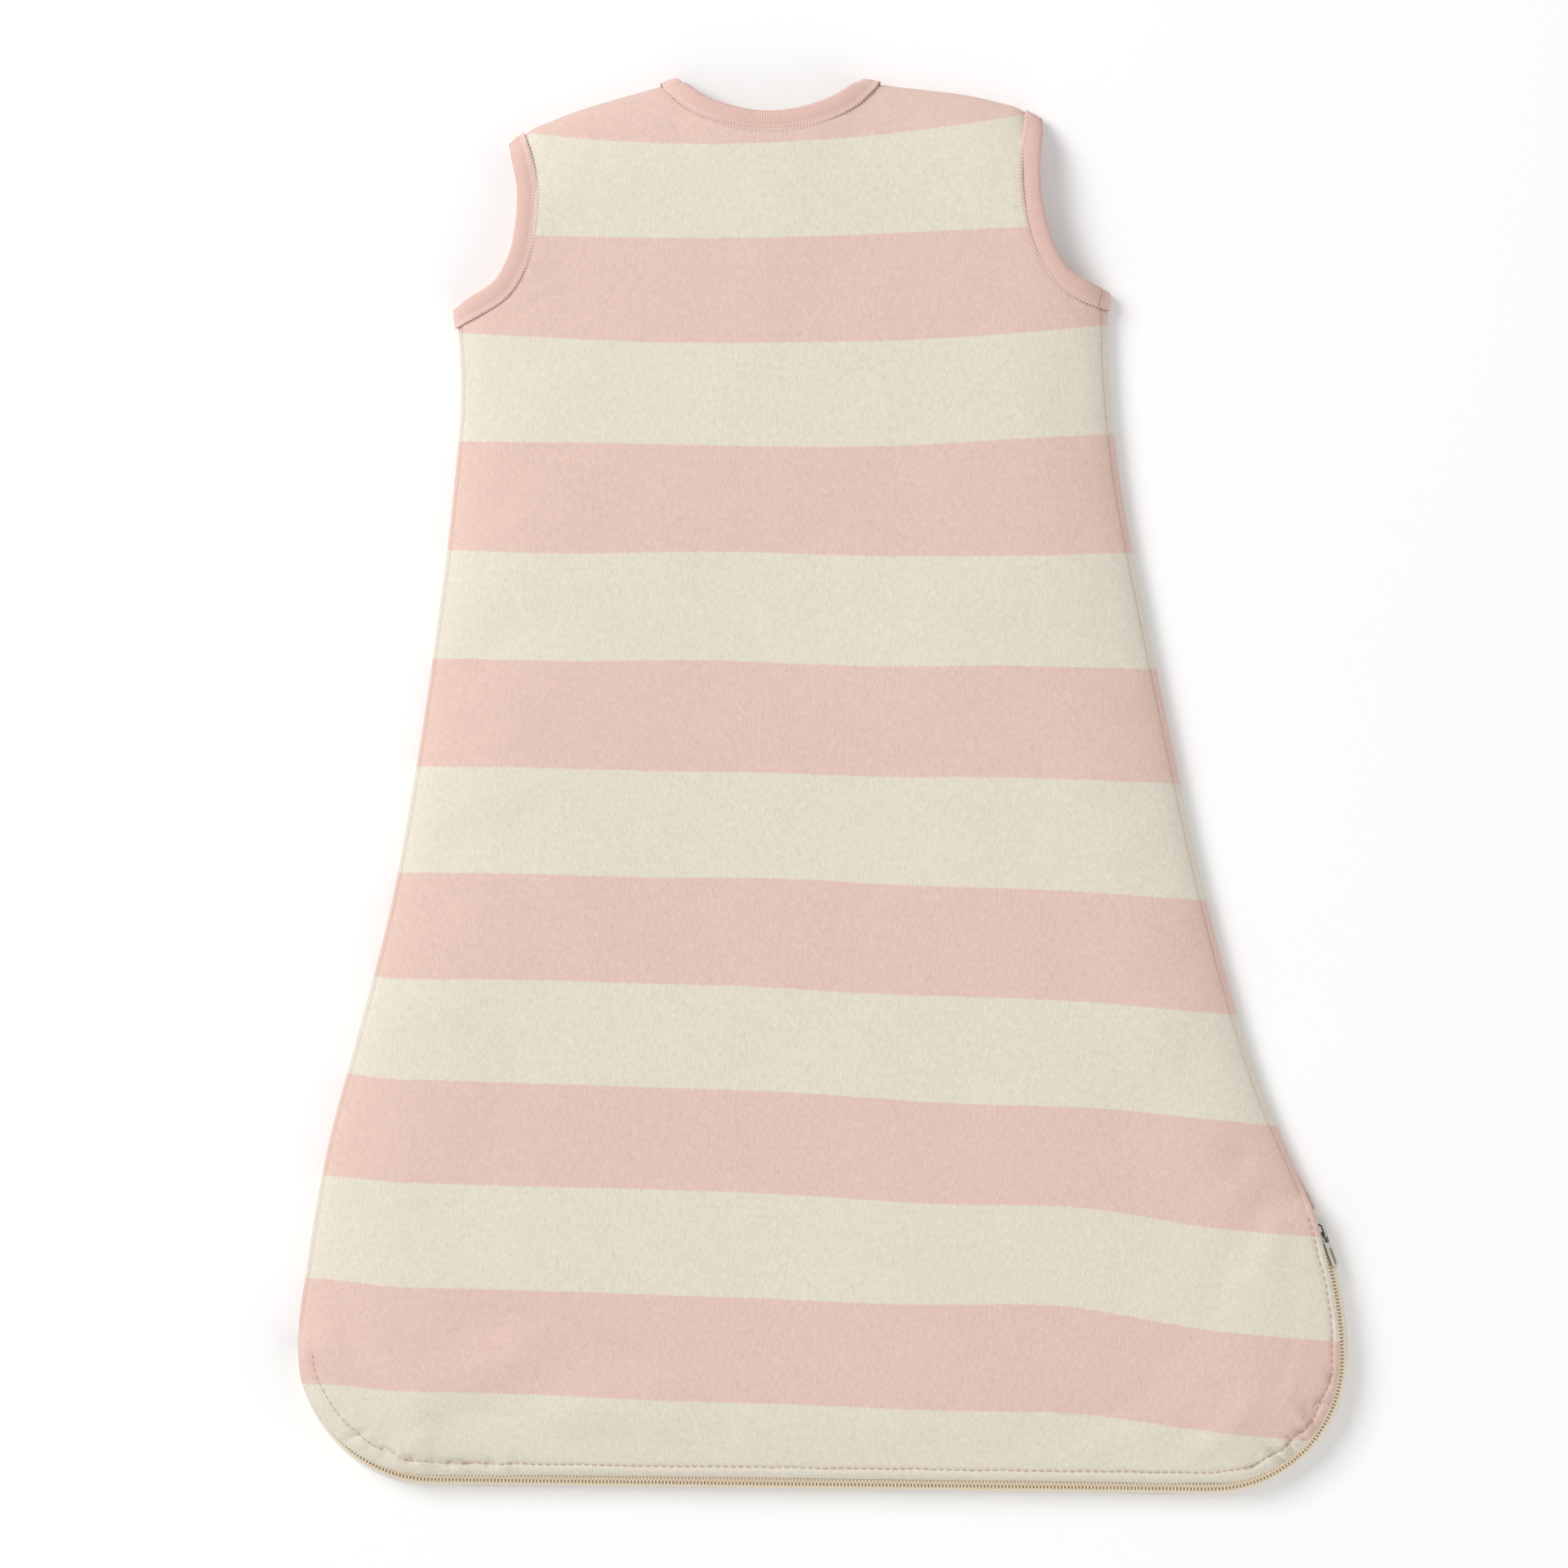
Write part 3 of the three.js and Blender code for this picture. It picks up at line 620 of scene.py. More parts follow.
# Two colours in bands, whose edges are ragged by a fibre or two
def stripeGroup():
    group, make, given, out = newGroup(
        "yarnStripes",
        [
            ("Vector", "v", None), ("Stripe", "f", 0.0), ("First", "c", (1, 1, 1, 1)),
            ("Second", "c", (1, 1, 1, 1)), ("Edge", "f", 22.0),
        ],
        [("Color", "c"), ("Mask", "f")],
    )
    ragged = make.minus(make.noise(make.stretched(given["Vector"], (1.0, 0.3, 1.0)), 1500.0), 0.5)
    slow = make.minus(make.noise(given["Vector"], 60.0), 0.5)
    offset = make.plus(make.times(ragged, 0.028), make.times(slow, 0.012))
    place = make.plus(given["Stripe"], offset)
    band = make.math("SINE", make.times(place, math.pi))
    mask = make.plus(make.times(band, given["Edge"]), 0.5, clamp=True)
    make.link(make.mix(mask, given["First"], given["Second"]), out["Color"])
    make.link(mask, out["Mask"])
    return group


jersey, stripes = jerseyGroup(), stripeGroup()
clothColours = {
    "cream": srgb(229, 221, 205),
    "pink": srgb(229, 198, 186),
    "rib": srgb(233, 200, 190),
    "lining": srgb(236, 231, 220),
    "stitch": srgb(246, 220, 210),
    "topstitch": srgb(216, 186, 168),
    "wadding": srgb(244, 242, 236),
    "label": srgb(240, 237, 229),
}


def newMaterial(name, roughness, sheen=0.0, metallic=0.0):
    material = bpy.data.materials.new(name)
    material.use_nodes = True
    make = NodeMaker(material.node_tree)
    shader = material.node_tree.nodes["Principled BSDF"]
    shader.inputs["Roughness"].default_value = roughness
    shader.inputs["Sheen Weight"].default_value = sheen
    shader.inputs["Sheen Roughness"].default_value = 0.5
    shader.inputs["Metallic"].default_value = metallic
    if not metallic:
        shader.inputs["Specular IOR Level"].default_value = 0.25
    return material, make, shader


def bump(make, shader, height, distance):
    made = make.add("ShaderNodeBump", {"Height": height, "Distance": distance * mm})
    make.link(made.outputs["Normal"], shader.inputs["Normal"])


def jerseyMaterial(name, colour, striped=False, fleck=0.09, wale=900.0):
    material, make, shader = newMaterial(name, 0.92, sheen=0.12)
    place = make.place()
    if striped:
        inputs = {"Vector": place, "Stripe": make.given("stripe")}
        inputs |= {"First": clothColours["pink"], "Second": clothColours["cream"]}
        bands = make.add("ShaderNodeGroup", inputs, node_tree=stripes)
        # painted shade: the cloth is darkened towards a deep pink in the seam grooves
        paintedGrooveShade = make.times(make.given("grooveShade"), 0.28)
        colour = make.mix(paintedGrooveShade, bands.outputs["Color"], srgb(190, 160, 146), "MULTIPLY")
    inputs = {"Vector": place, "Color": colour, "Fleck": fleck, "Wale": wale}
    knit = make.add("ShaderNodeGroup", inputs, node_tree=jersey)
    make.link(knit.outputs["Color"], shader.inputs["Base Color"])
    bump(make, shader, knit.outputs["Height"], 0.12)
    return material


shellCloth = jerseyMaterial("stripedJersey", None, striped=True)
liningCloth = jerseyMaterial("liningJersey", clothColours["lining"], fleck=0.03, wale=700.0)
print("cloth materials made")

# The woven stripes: heights of their edges on the back's middle line, and how each lies across it
stripePlan = {
    "middle": -21.9,  # mm
    "edges": [275.7, 235.8, 190.7, 146.1, 99.3, 53.4, 6.4, -39.5, -85.5, -129.9, -174.6, -218.4, -263.2],
    "at": [-263, -130, -40, 53, 191, 236, 276],
    "tilt": [0.0475, 0.049, 0.0304, 0.0086, -0.0096, -0.016, -0.028],
    "bow": [0.106, 0.1, 0.081, 0.026, -0.305, -0.274, -0.8],  # per metre
    "drift": 2.2,
    "pitch": 45.5,
    "rightDip": {"drop": 3.5, "middle": 108, "width": 42, "from": -60, "run": 130},
    "leftDip": {"drop": 2.6, "from": -180, "run": 35},
}


def stripeValue(points):
    edges, pitch = stripePlan["edges"], stripePlan["pitch"]
    edges = np.array([edges[0] + pitch, *edges, edges[-1] - pitch]) * mm
    dx = points[..., 0] - stripePlan["middle"] * mm
    level = points[..., 1] + stripePlan["drift"] * mm * wave(points, 85, 3.3)
    x, y = points[..., 0] / mm, points[..., 1] / mm
    dip = stripePlan["rightDip"]
    beside = np.exp(-(((x - dip["middle"]) / dip["width"]) ** 2)) * smooth((dip["from"] - y) / dip["run"])
    level = level - dip["drop"] * mm * beside
    dip = stripePlan["leftDip"]
    level = level - dip["drop"] * mm * smooth((dip["from"] - x) / dip["run"])
    middle = level
    at = np.array(stripePlan["at"]) * mm
    for _ in range(3):  # the height on the middle line of the band edge that passes through a point
        tilt, bow = (np.interp(middle, at, stripePlan[key]) for key in ("tilt", "bow"))
        middle = level + tilt * dx + bow * dx * dx
    return np.interp(-middle, -edges, np.arange(-1, len(edges) - 1))


# How the padded back swells between its seams: a cloth simulation on a coarse copy, in mm
backSwell = {
    "cuts": 4,  # in each cell
    "frames": 20,
    "cap": 1.6,  # mm
    "cloth": {
        "quality": 6,
        "mass": 0.15,
        "tension_stiffness": 12,
        "compression_stiffness": 12,
        "shear_stiffness": 4,
        "bending_stiffness": 0.6,
        "use_pressure": True,
        "uniform_pressure_force": 1.6,
        "shrink_min": -0.012,
        "vertex_group_mass": "pins",
    },
}


def simulateBack():
    columns, rows = panelNodes["columns"], panelNodes["rows"]
    t, r = parameterGrid([backSwell["cuts"]] * columns, [backSwell["cuts"]] * rows)
    plan = backPlan["place"](t, r)
    at = backPlan["field"](plan)
    height = backOuter(plan, at) * mm
    order = np.arange(t.size).reshape(t.shape)
    solid = np.concatenate([plan, height[..., None]], -1)
    mesh = gridMesh("swelling", solid, values={"pin": at["seam"], "order": order})
    pad = newObject("swelling", mesh)
    held, place = np.empty(t.size, np.float32), np.empty(t.size, np.float32)
    mesh.attributes["pin"].data.foreach_get("value", held)
    mesh.attributes["order"].data.foreach_get("value", place)
    pins = pad.vertex_groups.new(name="pins")
    for index, distance in enumerate(held / mm):
        pins.add([index], 1 - float(smooth((distance - 4) / 10)), "REPLACE")
    before = np.array([v.co.z for v in mesh.vertices])
    cloth = pad.modifiers.new("cloth", "CLOTH")
    for key, value in backSwell["cloth"].items():
        setattr(cloth.settings, key, value)
    cloth.settings.effector_weights.gravity = 0
    cloth.point_cache.frame_end = backSwell["frames"]
    for step in range(1, backSwell["frames"] + 1):
        bpy.context.scene.frame_set(step)
    moved = pad.evaluated_get(bpy.context.evaluated_depsgraph_get())
    after = np.array([v.co.z for v in moved.data.vertices])
    bpy.context.scene.frame_set(1)
    raw = (after - before) / mm
    print("swelling from", raw.min().round(2), "to", raw.max().round(2), "mm")
    rise = backSwell["cap"] * np.tanh(raw / backSwell["cap"] / 3)
    made = np.empty(t.size)
    made[place.astype(int)] = rise
    bpy.data.objects.remove(pad)
    bpy.data.meshes.remove(mesh)
    return made.reshape(t.shape)


swell = simulateBack()


# The swelling at any column and row of the panel
def swellAt(t, r):
    fine = through(swell, r[:, 0] * backSwell["cuts"])
    return through(fine.T.copy(), t[0] * backSwell["cuts"]).T


def panelPiece(side, plan, t, r, outer, flip):
    points = plan["place"](t, r)
    at = plan["field"](points)
    height = outer(points, at)
    inset = stitchInset(at["s"])[0]
    # painted shade: a value that darkens the cloth along the topstitch groove and along the side seams'
    # grooves
    grooveShade = 0.15 * at["onZip"] * np.exp(-(((at["bottom"] / mm - inset) / 0.5) ** 2))
    inset = np.where(at["rightSide"], sideSeam["right"], sideSeam["left"])
    grooveShade += (1 - at["onZip"]) * np.exp(-(((at["bottom"] / mm - inset) / 0.4) ** 2))
    values = {"stripe": stripeValue(points), "grooveShade": grooveShade}
    solid = np.concatenate([points, height[..., None] * mm], -1)
    mesh = gridMesh("panel", solid, values=values, flip=flip)
    piece = addPiece(side + "_panel", mesh, shellCloth, [side + "_shell"])
    thicken(piece, loft["shell"])
    return piece


fineT, fineR = parameterGrid(cuts["across"], cuts["along"])
swollen = swellAt(fineT, fineR)
backPanel = panelPiece("back", backPlan, fineT, fineR, lambda p, at: backOuter(p, at, swollen), False)
frontPanel = panelPiece("front", frontPlan, fineT, fineR, frontOuter, True)
print("panels made")

# Ribbed bindings round the neck and the armholes: a folded strip whose ribs run across it
binding = {
    "ribPitch": 1.15,
    "ribDepth": 0.13,
    "step": 0.28,
    "tipBlend": 14,  # near its ends it turns to go on in line with the seam
    "trim": 2.0,  # each end stops short, so the fold ends level with the seam
    "slim": (0.14, 0.5),  # how much narrower and thinner it is at its ends
    "fold": 8,  # steps round each end
}
bindingProfile = [
    (-1.1, 0.85), (-1.15, 1.1), (-0.8, 1.38), (0.1, 1.45), (0.9, 1.36), (1.7, 1.6), (2.8, 1.82),
    (4.0, 1.85), (5.2, 1.75), (6.3, 1.5), (7.1, 1.08), (7.6, 0.55), (7.8, 0.0),
]
bindingLeaf = [(0.5, 0.95), (3.5, 0.95), (5.4, 0.8), (6.3, 0.45), (6.6, 0.0)]


def backMiddle(at):
    return 5.3 + 13.5 * dome(at["seam"] / mm / loft["domeWidth"])


def frontMiddle(at):
    return 2.1 + 1.25 * (1 - dome(at["seam"] / mm / loft["curlWidth"]))


def evenly(line, step):
    length = reachOf(line)
    s = np.linspace(0, length[-1], max(2, round(length[-1] / step) + 1))
    return np.stack([np.interp(s, length, line[:, k]) for k in range(line.shape[1])], -1), s


def unitRows(v):
    return v / np.maximum(np.linalg.norm(v, axis=-1, keepdims=True), 1e-12)


def softened(rows, times):
    for _ in range(times):
        rows = (np.roll(rows, 1, 0) + 2 * rows + np.roll(rows, -1, 0)) / 4
    return rows


# The ring's centre line, width and outward directions, and what is known at each place on it
def bindingRing(key, hand):
    halves = []
    for plan, middle in ((backPlan, backMiddle), (frontPlan, frontMiddle)):
        line, s = evenly(plan["edges"][key], 0.1 * mm)
        kept = (s > binding["trim"] * mm) & (s < s[-1] - binding["trim"] * mm)
        line, s = evenly(line[kept], binding["step"] * mm)
        turned = unitRows(np.gradient(line, axis=0)) @ np.array([[0, 1], [-1, 0]]) * hand
        turned = softened(np.concatenate([turned, turned[::-1]]), 30)[: len(line)]
        for tip, reach in ((plan["tips"][key][0], s), (plan["tips"][key][1], s[-1] - s)):
            share = (1 - smooth(reach / (binding["tipBlend"] * mm)))[:, None]
            turned = unitRows(turned * (1 - share) + tip * share)
        z = middle(plan["field"](line)) * mm
        halves.append((np.column_stack([line, z]), np.column_stack([turned, 0 * z])))
    (back, backWide), (front, frontWide) = halves
    count = binding["fold"]

    def foldOver(top, low, wide, ahead):
        angle = np.linspace(0, np.pi, count + 2)[1:-1, None]
        middle, up = (top + low) / 2, (top - low) / 2
        turn = middle + up * np.cos(angle) + ahead * np.linalg.norm(up) * np.sin(angle)
        return turn, np.repeat(wide[None], count, 0)

    aheadEnd = unitRows(unitRows(back[-1] - back[-4]) + unitRows(front[-1] - front[-4]))
    aheadStart = unitRows(unitRows(back[0] - back[3]) + unitRows(front[0] - front[3]))
    endTurn, endWide = foldOver(back[-1], front[-1], backWide[-1], aheadEnd)
    startTurn, startWide = foldOver(back[0], front[0], backWide[0], aheadStart)
    path = np.concatenate([back, endTurn, front[::-1], startTurn[::-1]])
    wide = np.concatenate([backWide, endWide, frontWide[::-1], startWide[::-1]])
    tight = np.zeros(len(path))
    tight[len(back) : len(back) + count] = 1
    tight[-count:] = 1
    path, wide = softened(path, 4), unitRows(softened(wide, 8))
    ends = softened(tight, 160)
    ends = ends / ends.max()
    tight = softened(tight, 6)
    ahead = unitRows(np.roll(path, -1, 0) - np.roll(path, 1, 0))
    wide = unitRows(wide - (wide * ahead).sum(-1, keepdims=True) * ahead)
    out = np.cross(ahead, wide) * hand
    return {"path": path, "wide": wide, "out": out, "tight": tight, "ends": ends, "back": len(back)}


def makeBinding(name, key, hand, joinAt=None):
    ring = bindingRing(key, hand)
    path = np.concatenate([ring["path"], ring["path"][:1]])
    wide, out = (np.concatenate([ring[k], ring[k][:1]]) for k in ("wide", "out"))
    tight, ends = (np.append(ring[k], ring[k][0])[:, None] for k in ("tight", "ends"))
    reach = reachOf(path) / mm
    ribs = round(reach[-1] / binding["ribPitch"])
    ripple = np.cos(reach / reach[-1] * ribs * 2 * np.pi)
    under, leafUnder = [(w, -n) for w, n in bindingProfile[-2::-1]], [(w, -n) for w, n in bindingLeaf]
    leafBack = bindingLeaf[-2::-1]
    profile = np.array(bindingProfile + under + leafUnder + leafBack + bindingProfile[:1])
    outer = len(bindingProfile) * 2 - 1
    ribbed = np.where(np.arange(len(profile)) < outer, smooth((profile[:, 0] - 0.9) / 0.9), 0)
    n = np.repeat(profile[None, :, 1], len(path), 0)
    n = n + ribbed * np.sign(profile[:, 1]) * binding["ribDepth"] * ripple[:, None]
    w = profile[None, :, 0] + ribbed * (profile[:, 0] > 7) * binding["ribDepth"] * ripple[:, None]
    # painted shade: how dark each rib valley is drawn
    valleyShade = ribbed * (0.5 - 0.5 * ripple[:, None])
    if joinAt:  # where the strip's two ends are sewn together
        dip = np.exp(-(((reach - joinAt) / 0.35) ** 2))[:, None] * (np.arange(len(profile)) < outer)
        n = n - np.sign(profile[:, 1]) * 0.7 * dip
        # painted shade in the dip at the sewn join
        valleyShade = np.maximum(valleyShade, 1.6 * dip)
    w = np.where(w > 0, w * (1 - binding["slim"][0] * ends), w)
    n = n * (1 - binding["slim"][1] * ends) * np.where(n < 0, 1 - 0.5 * tight, 1)
    points = path[:, None] + (w[..., None] * wide[:, None] + n[..., None] * out[:, None]) * mm
    if hand < 0:
        points, valleyShade = points[:, ::-1], valleyShade[:, ::-1]
    uv = np.stack(np.broadcast_arrays(reach[:, None] / 10, w / 10), -1)
    mesh = gridMesh(name, points, uv=uv, values={"valleyShade": valleyShade}, weld=True)
    addPiece(name + "_rib", mesh, ribKnit, [name + "_binding"])
    return ring


def ribMaterial():
    material, make, shader = newMaterial("ribKnit", 0.9, sheen=0.1)
    place = make.place()
    inputs = {"Vector": place, "Color": clothColours["rib"], "Fleck": 0.045}
    knit = make.add("ShaderNodeGroup", inputs, node_tree=jersey)
    # painted shade: the rib valleys are darkened towards a deeper pink
    valleyShade = make.times(make.given("valleyShade"), 0.55)
    colour = make.mix(valleyShade, knit.outputs["Color"], srgb(208, 165, 153))
    make.link(colour, shader.inputs["Base Color"])
    bump(make, shader, knit.outputs["Height"], 0.08)
    return material


ribKnit = ribMaterial()
rings = {
    "neck": makeBinding("neck", "neck", 1),
    "left_armhole": makeBinding("left_armhole", "leftArm", 1),
    "right_armhole": makeBinding("right_armhole", "rightArm", -1, 3.4),
}
print("bindings made")


# Surfaces that threads lie on
def treeOf(*names):
    trees = []
    for name in names:
        mesh = bpy.data.objects[name].data
        corners = [v.co for v in mesh.vertices]
        trees.append(BVHTree.FromPolygons(corners, [p.vertices for p in mesh.polygons]))
    return trees


def onSurface(points, trees, side):
    heights = []
    for x, y in points:
        hits = [tree.ray_cast(Vector((x, y, side)), Vector((0, 0, -side)))[0] for tree in trees]
        found = [hit.z for hit in hits if hit is not None]
        heights.append((max if side > 0 else min)(found) if found else np.nan)
    made = np.array(heights)
    good = ~np.isnan(made)
    return np.interp(np.arange(len(made)), np.arange(len(made))[good], made[good])


# A round thread through 3-D points
def threadMesh(name, path, up, radius, sides=6):
    ahead = unitRows(np.gradient(path, axis=0))
    side = unitRows(np.cross(ahead, up))
    up = np.cross(side, ahead)
    angle = np.linspace(0, 2 * np.pi, sides + 1)
    points = path[:, None] + radius * mm * (
        np.cos(angle)[None, :, None] * up[:, None] + np.sin(angle)[None, :, None] * side[:, None]
    )
    return gridMesh(name, points, weld=True, cap=True)


def joined(name, meshes, material):
    bm = bmesh.new()
    for mesh in meshes:
        bm.from_mesh(mesh)
        bpy.data.meshes.remove(mesh)
    return addPiece(name, meshOf(bm, name), material)


def threadMaterial(name, colour):
    material, make, shader = newMaterial(name, 0.6, sheen=0.1)
    place = make.place()
    twist = make.noise(place, 2500.0, 2.0)
    dark = tuple(c * 0.72 for c in colour[:3]) + (1,)
    make.link(make.mix(make.times(twist, 0.5), colour, dark), shader.inputs["Base Color"])
    bump(make, shader, twist, 0.08)
    return material


coverThread = threadMaterial("coverThread", clothColours["stitch"])
topThread = threadMaterial("topThread", clothColours["topstitch"])
coverstitch = {"pitch": 1.45, "from": -1.8, "to": 0.6, "radius": 0.2, "needle": 0.95, "clear": 0.1}


def coverstitches():
    top = treeOf("back_panel", "neck_rib", "left_armhole_rib", "right_armhole_rib")
    low = treeOf("front_panel", "neck_rib", "left_armhole_rib", "right_armhole_rib")
    for key, ring in rings.items():
        meshes = []
        spans = (
            (ring["path"][: ring["back"]], ring["wide"][: ring["back"]], top, 1),
            (ring["path"][ring["back"] + 8 : -8], ring["wide"][ring["back"] + 8 : -8], low, -1),
        )
        for path, wide, trees, side in spans:
            reach = reachOf(path[:, :2])
            s = np.linspace(0, reach[-1], round(reach[-1] / (0.24 * mm)) + 1)
            place, out = (
                np.stack([np.interp(s, reach, rows[:, k]) for k in (0, 1)], -1) for rows in (path, wide)
            )
            out = unitRows(out)
            phase = s / mm / coverstitch["pitch"] % 1
            zig = np.abs(2 * phase - 1)
            w = coverstitch["from"] + (coverstitch["to"] - coverstitch["from"]) * zig
            zigzag = place + out * (w * mm)[:, None]
            z = onSurface(zigzag, trees, side) + side * coverstitch["clear"] * mm
            up = np.tile([0, 0, float(side)], (len(z), 1))
            meshes.append(threadMesh("cover", np.column_stack([zigzag, z]), up, coverstitch["radius"]))
            needle = place + out * coverstitch["needle"] * mm
            z = onSurface(needle, trees, side)
            z = z + side * (0.02 + 0.16 * np.cos(2 * np.pi * phase)) * mm
            meshes.append(threadMesh("needle", np.column_stack([needle, z]), up, coverstitch["radius"]))
        joined(key + "_coverstitch", meshes, coverThread)


coverstitches()


# The topstitch inside the fold, a thread that comes up and goes down
def topstitches():
    pitch = 3.3
    s = np.arange(1, zipEnd / mm - 2, 0.3)
    inset = stitchInset(s * mm)[0]
    for name, panel, offsets, side, extra in (
        ("back_topstitch", "back_panel", foldLine["back"], 1, 0),
        ("front_topstitch", "front_panel", [3.6] * len(foldLine["s"]), -1, 3),
    ):
        place = alongZip(s * mm, (np.interp(s, foldLine["s"], offsets) - inset - extra) * mm)
        z = onSurface(place, treeOf(panel), side) / mm
        lift = np.clip(1.6 * (np.cos(2 * np.pi * s / pitch) + 0.3), -1, 1) * 0.32 - 0.08
        up = np.tile([0, 0, float(side)], (len(z), 1))
        path = np.column_stack([place, (z + side * lift) * mm])
        addPiece(name, threadMesh(name, path, up, 0.24), topThread)


topstitches()
print("stitches made")

# Zip: tapes, chain and the guard behind it. Sections are offsets outward and heights, in mm
zipParts = {
    "backTape": [onChain(-3.3), onChain(-4.9), (-9.6, 13.05)],
    "frontTape": [onChain(3.3), onChain(4.9), (3.05, 2.5), (2.3, 1.7), (-2.9, 1.6)],
    "tapeThickness": 0.45,
    "guard": [(-5.6, 6.9), (-9, 7.2), (-13, 7.6), (-18, 8.0)],
    "guardThickness": 0.6,
    "coilFrom": 4.3,
    "coilTo": zipEnd / mm - 5.8,
    "pitch": 1.5,
}


def zipSweep(section, start, end, step=1.5):
    s = np.linspace(start, end, round((end - start) / step) + 1) * mm
    section = np.array(section) * mm
    plan = np.stack([alongZip(s, a) for a in section[:, 0]], 1)
    height = np.broadcast_to(section[None, :, 1:], plan.shape[:2] + (1,))
    return np.concatenate([plan, height], -1), s


# A strip's closed section: a line with a thickness and round edges
def stripSection(line, thickness, count=16):
    t = np.linspace(0, len(line) - 1, count)
    middle = through(line, t)
    normal = unitRows(np.gradient(middle, axis=0)) @ np.array([[0, 1], [-1, 0]])
    half = thickness / 2 * np.sqrt(np.clip(1 - np.abs(np.linspace(-1, 1, count)) ** 14, 0.1, 1))[:, None]
    ring = np.concatenate([middle + normal * half, (middle - normal * half)[::-1]])
    return np.concatenate([ring, ring[:1]])


def zipStrip(name, line, thickness, short, material, node):
    points, s = zipSweep(stripSection(line, thickness), short, zipEnd / mm - short)
    across = np.linspace(0, 1, points.shape[1])
    uv = np.stack(np.broadcast_arrays(s[:, None] / (10 * mm), across[None]), -1)
    return addPiece(name, gridMesh(name, points, uv=uv, weld=True, cap=True), material, [node])


def tapeMaterial():
    material, make, shader = newMaterial("wovenTape", 0.75, sheen=0.05)
    uv = make.add("ShaderNodeTexCoord").outputs["UV"]
    weave, warp = make.bands(uv, 5.0, "X", 0.3), make.bands(uv, 14.0, "Y")
    place = make.place()
    height = make.plus(make.times(weave, 0.6), make.times(warp, 0.4))
    blend = make.plus(make.times(height, 0.5), make.times(make.noise(place, 900.0), 0.3))
    # painted light: the tape's base colour is set lighter than the real tape to offset the shade it lies
    # in
    colour = make.mix(blend, srgb(238, 225, 199), srgb(252, 245, 229))
    make.link(colour, shader.inputs["Base Color"])
    bump(make, shader, height, 0.12)
    # painted light: a faint glow, though the tape is no lamp
    shader.inputs["Emission Color"].default_value = srgb(242, 216, 188)
    shader.inputs["Emission Strength"].default_value = 0.07
    return material


def coilMaterial():
    material, make, shader = newMaterial("nylonCoil", 0.42)
    place = make.place()
    tint = make.noise(place, 700.0, 3.0)
    # painted light: the base colour is lifted above the coil's real beige to offset the fold's shade
    make.link(make.mix(tint, srgb(240, 228, 202), srgb(253, 248, 235)), shader.inputs["Base Color"])
    bump(make, shader, make.noise(place, 2400.0), 0.03)
    shader.inputs["Emission Color"].default_value = srgb(242, 216, 188)  # painted light: a faint glow, though the coil is no lamp, so the chain in the fold's shade reads light
    shader.inputs["Emission Strength"].default_value = 0.14
    return material


wovenTape, nylonCoil = tapeMaterial(), coilMaterial()
for side in ("back", "front"):
    line, thickness = zipParts[side + "Tape"], zipParts["tapeThickness"]
    zipStrip(side + "_tape", line, thickness, 0.4, wovenTape, "zip_tape_" + side)
line, thickness = zipParts["guard"], zipParts["guardThickness"]
guard = zipStrip("zip_shield", line, thickness, 2, liningCloth, "zip_guard")


# One tooth: a bent filament with a wide head that locks between its neighbours
def toothMesh():
    bm = bmesh.new()
    bmesh.ops.create_uvsphere(bm, u_segments=8, v_segments=7, radius=1)
    for v in bm.verts:
        across, beside, above = v.co.z, v.co.x, v.co.y
        swell = 1 / max(math.sqrt(beside**2 + above**2), 0.35) ** 0.5
        head = max(0.0, -across - 0.45)
        width = (0.33 + 0.1 * head) if across < -0.1 else 0.36
        v.co = Vector((1.22 + 1.78 * across, beside * width * swell, above * 1.12 * swell**0.6))
    return meshOf(bm, "tooth")


def coilPiece(name, side, node):
    tooth = toothMesh()
    tilt = math.radians(zipLine["tilt"])
    first = zipParts["coilFrom"] + (0 if side > 0 else zipParts["pitch"] / 2)
    bm = bmesh.new()
    for s in np.arange(first + 0.4, zipParts["coilTo"] - 0.4, zipParts["pitch"]):
        here, out = alongZip(s * mm), alongZip(s * mm, 1) - alongZip(s * mm)
        across = Vector((out[0] * math.cos(tilt), out[1] * math.cos(tilt), -math.sin(tilt))) * side
        face = Vector((out[0] * math.sin(tilt), out[1] * math.sin(tilt), math.cos(tilt)))
        along = face.cross(across)
        middle = (here[0], here[1], zipLine["height"])
        place = [list(row) for row in zip(across * mm, along * mm, face * mm, middle)]
        count = len(bm.verts)
        bm.from_mesh(tooth)
        bm.verts.ensure_lookup_table()
        bmesh.ops.transform(bm, matrix=Matrix(place + [[0, 0, 0, 1]]), verts=bm.verts[count:])
    bpy.data.meshes.remove(tooth)
    for x in (1.9, 2.75):  # the sewing that holds the coil to its tape
        s = np.arange(zipParts["coilFrom"], zipParts["coilTo"], 0.375)
        a, z = onChain(side * x, 0)
        lift = 0.92 + 0.08 * np.cos(2 * np.pi * s / zipParts["pitch"])
        path = alongZip(s * mm, a * mm)
        outward = alongZip(s * mm, 1) - alongZip(s * mm)
        up = np.column_stack([outward * math.sin(tilt), np.full(len(s), math.cos(tilt))])
        path = np.column_stack([path, np.full(len(s), z * mm)]) + up * (lift * mm)[:, None]
        thread = threadMesh("sewing", path, up, 0.11, 5)
        bm.from_mesh(thread)
        bpy.data.meshes.remove(thread)
    return addPiece(name, meshOf(bm, name), nylonCoil, [node])


coilPiece("back_coil", -1, "zip_coil_back")
coilPiece("front_coil", 1, "zip_coil_front")
print("zip made")

# Inner layers: wadding and lining under each panel, short of the closed seams
innerCuts = 5  # in each cell


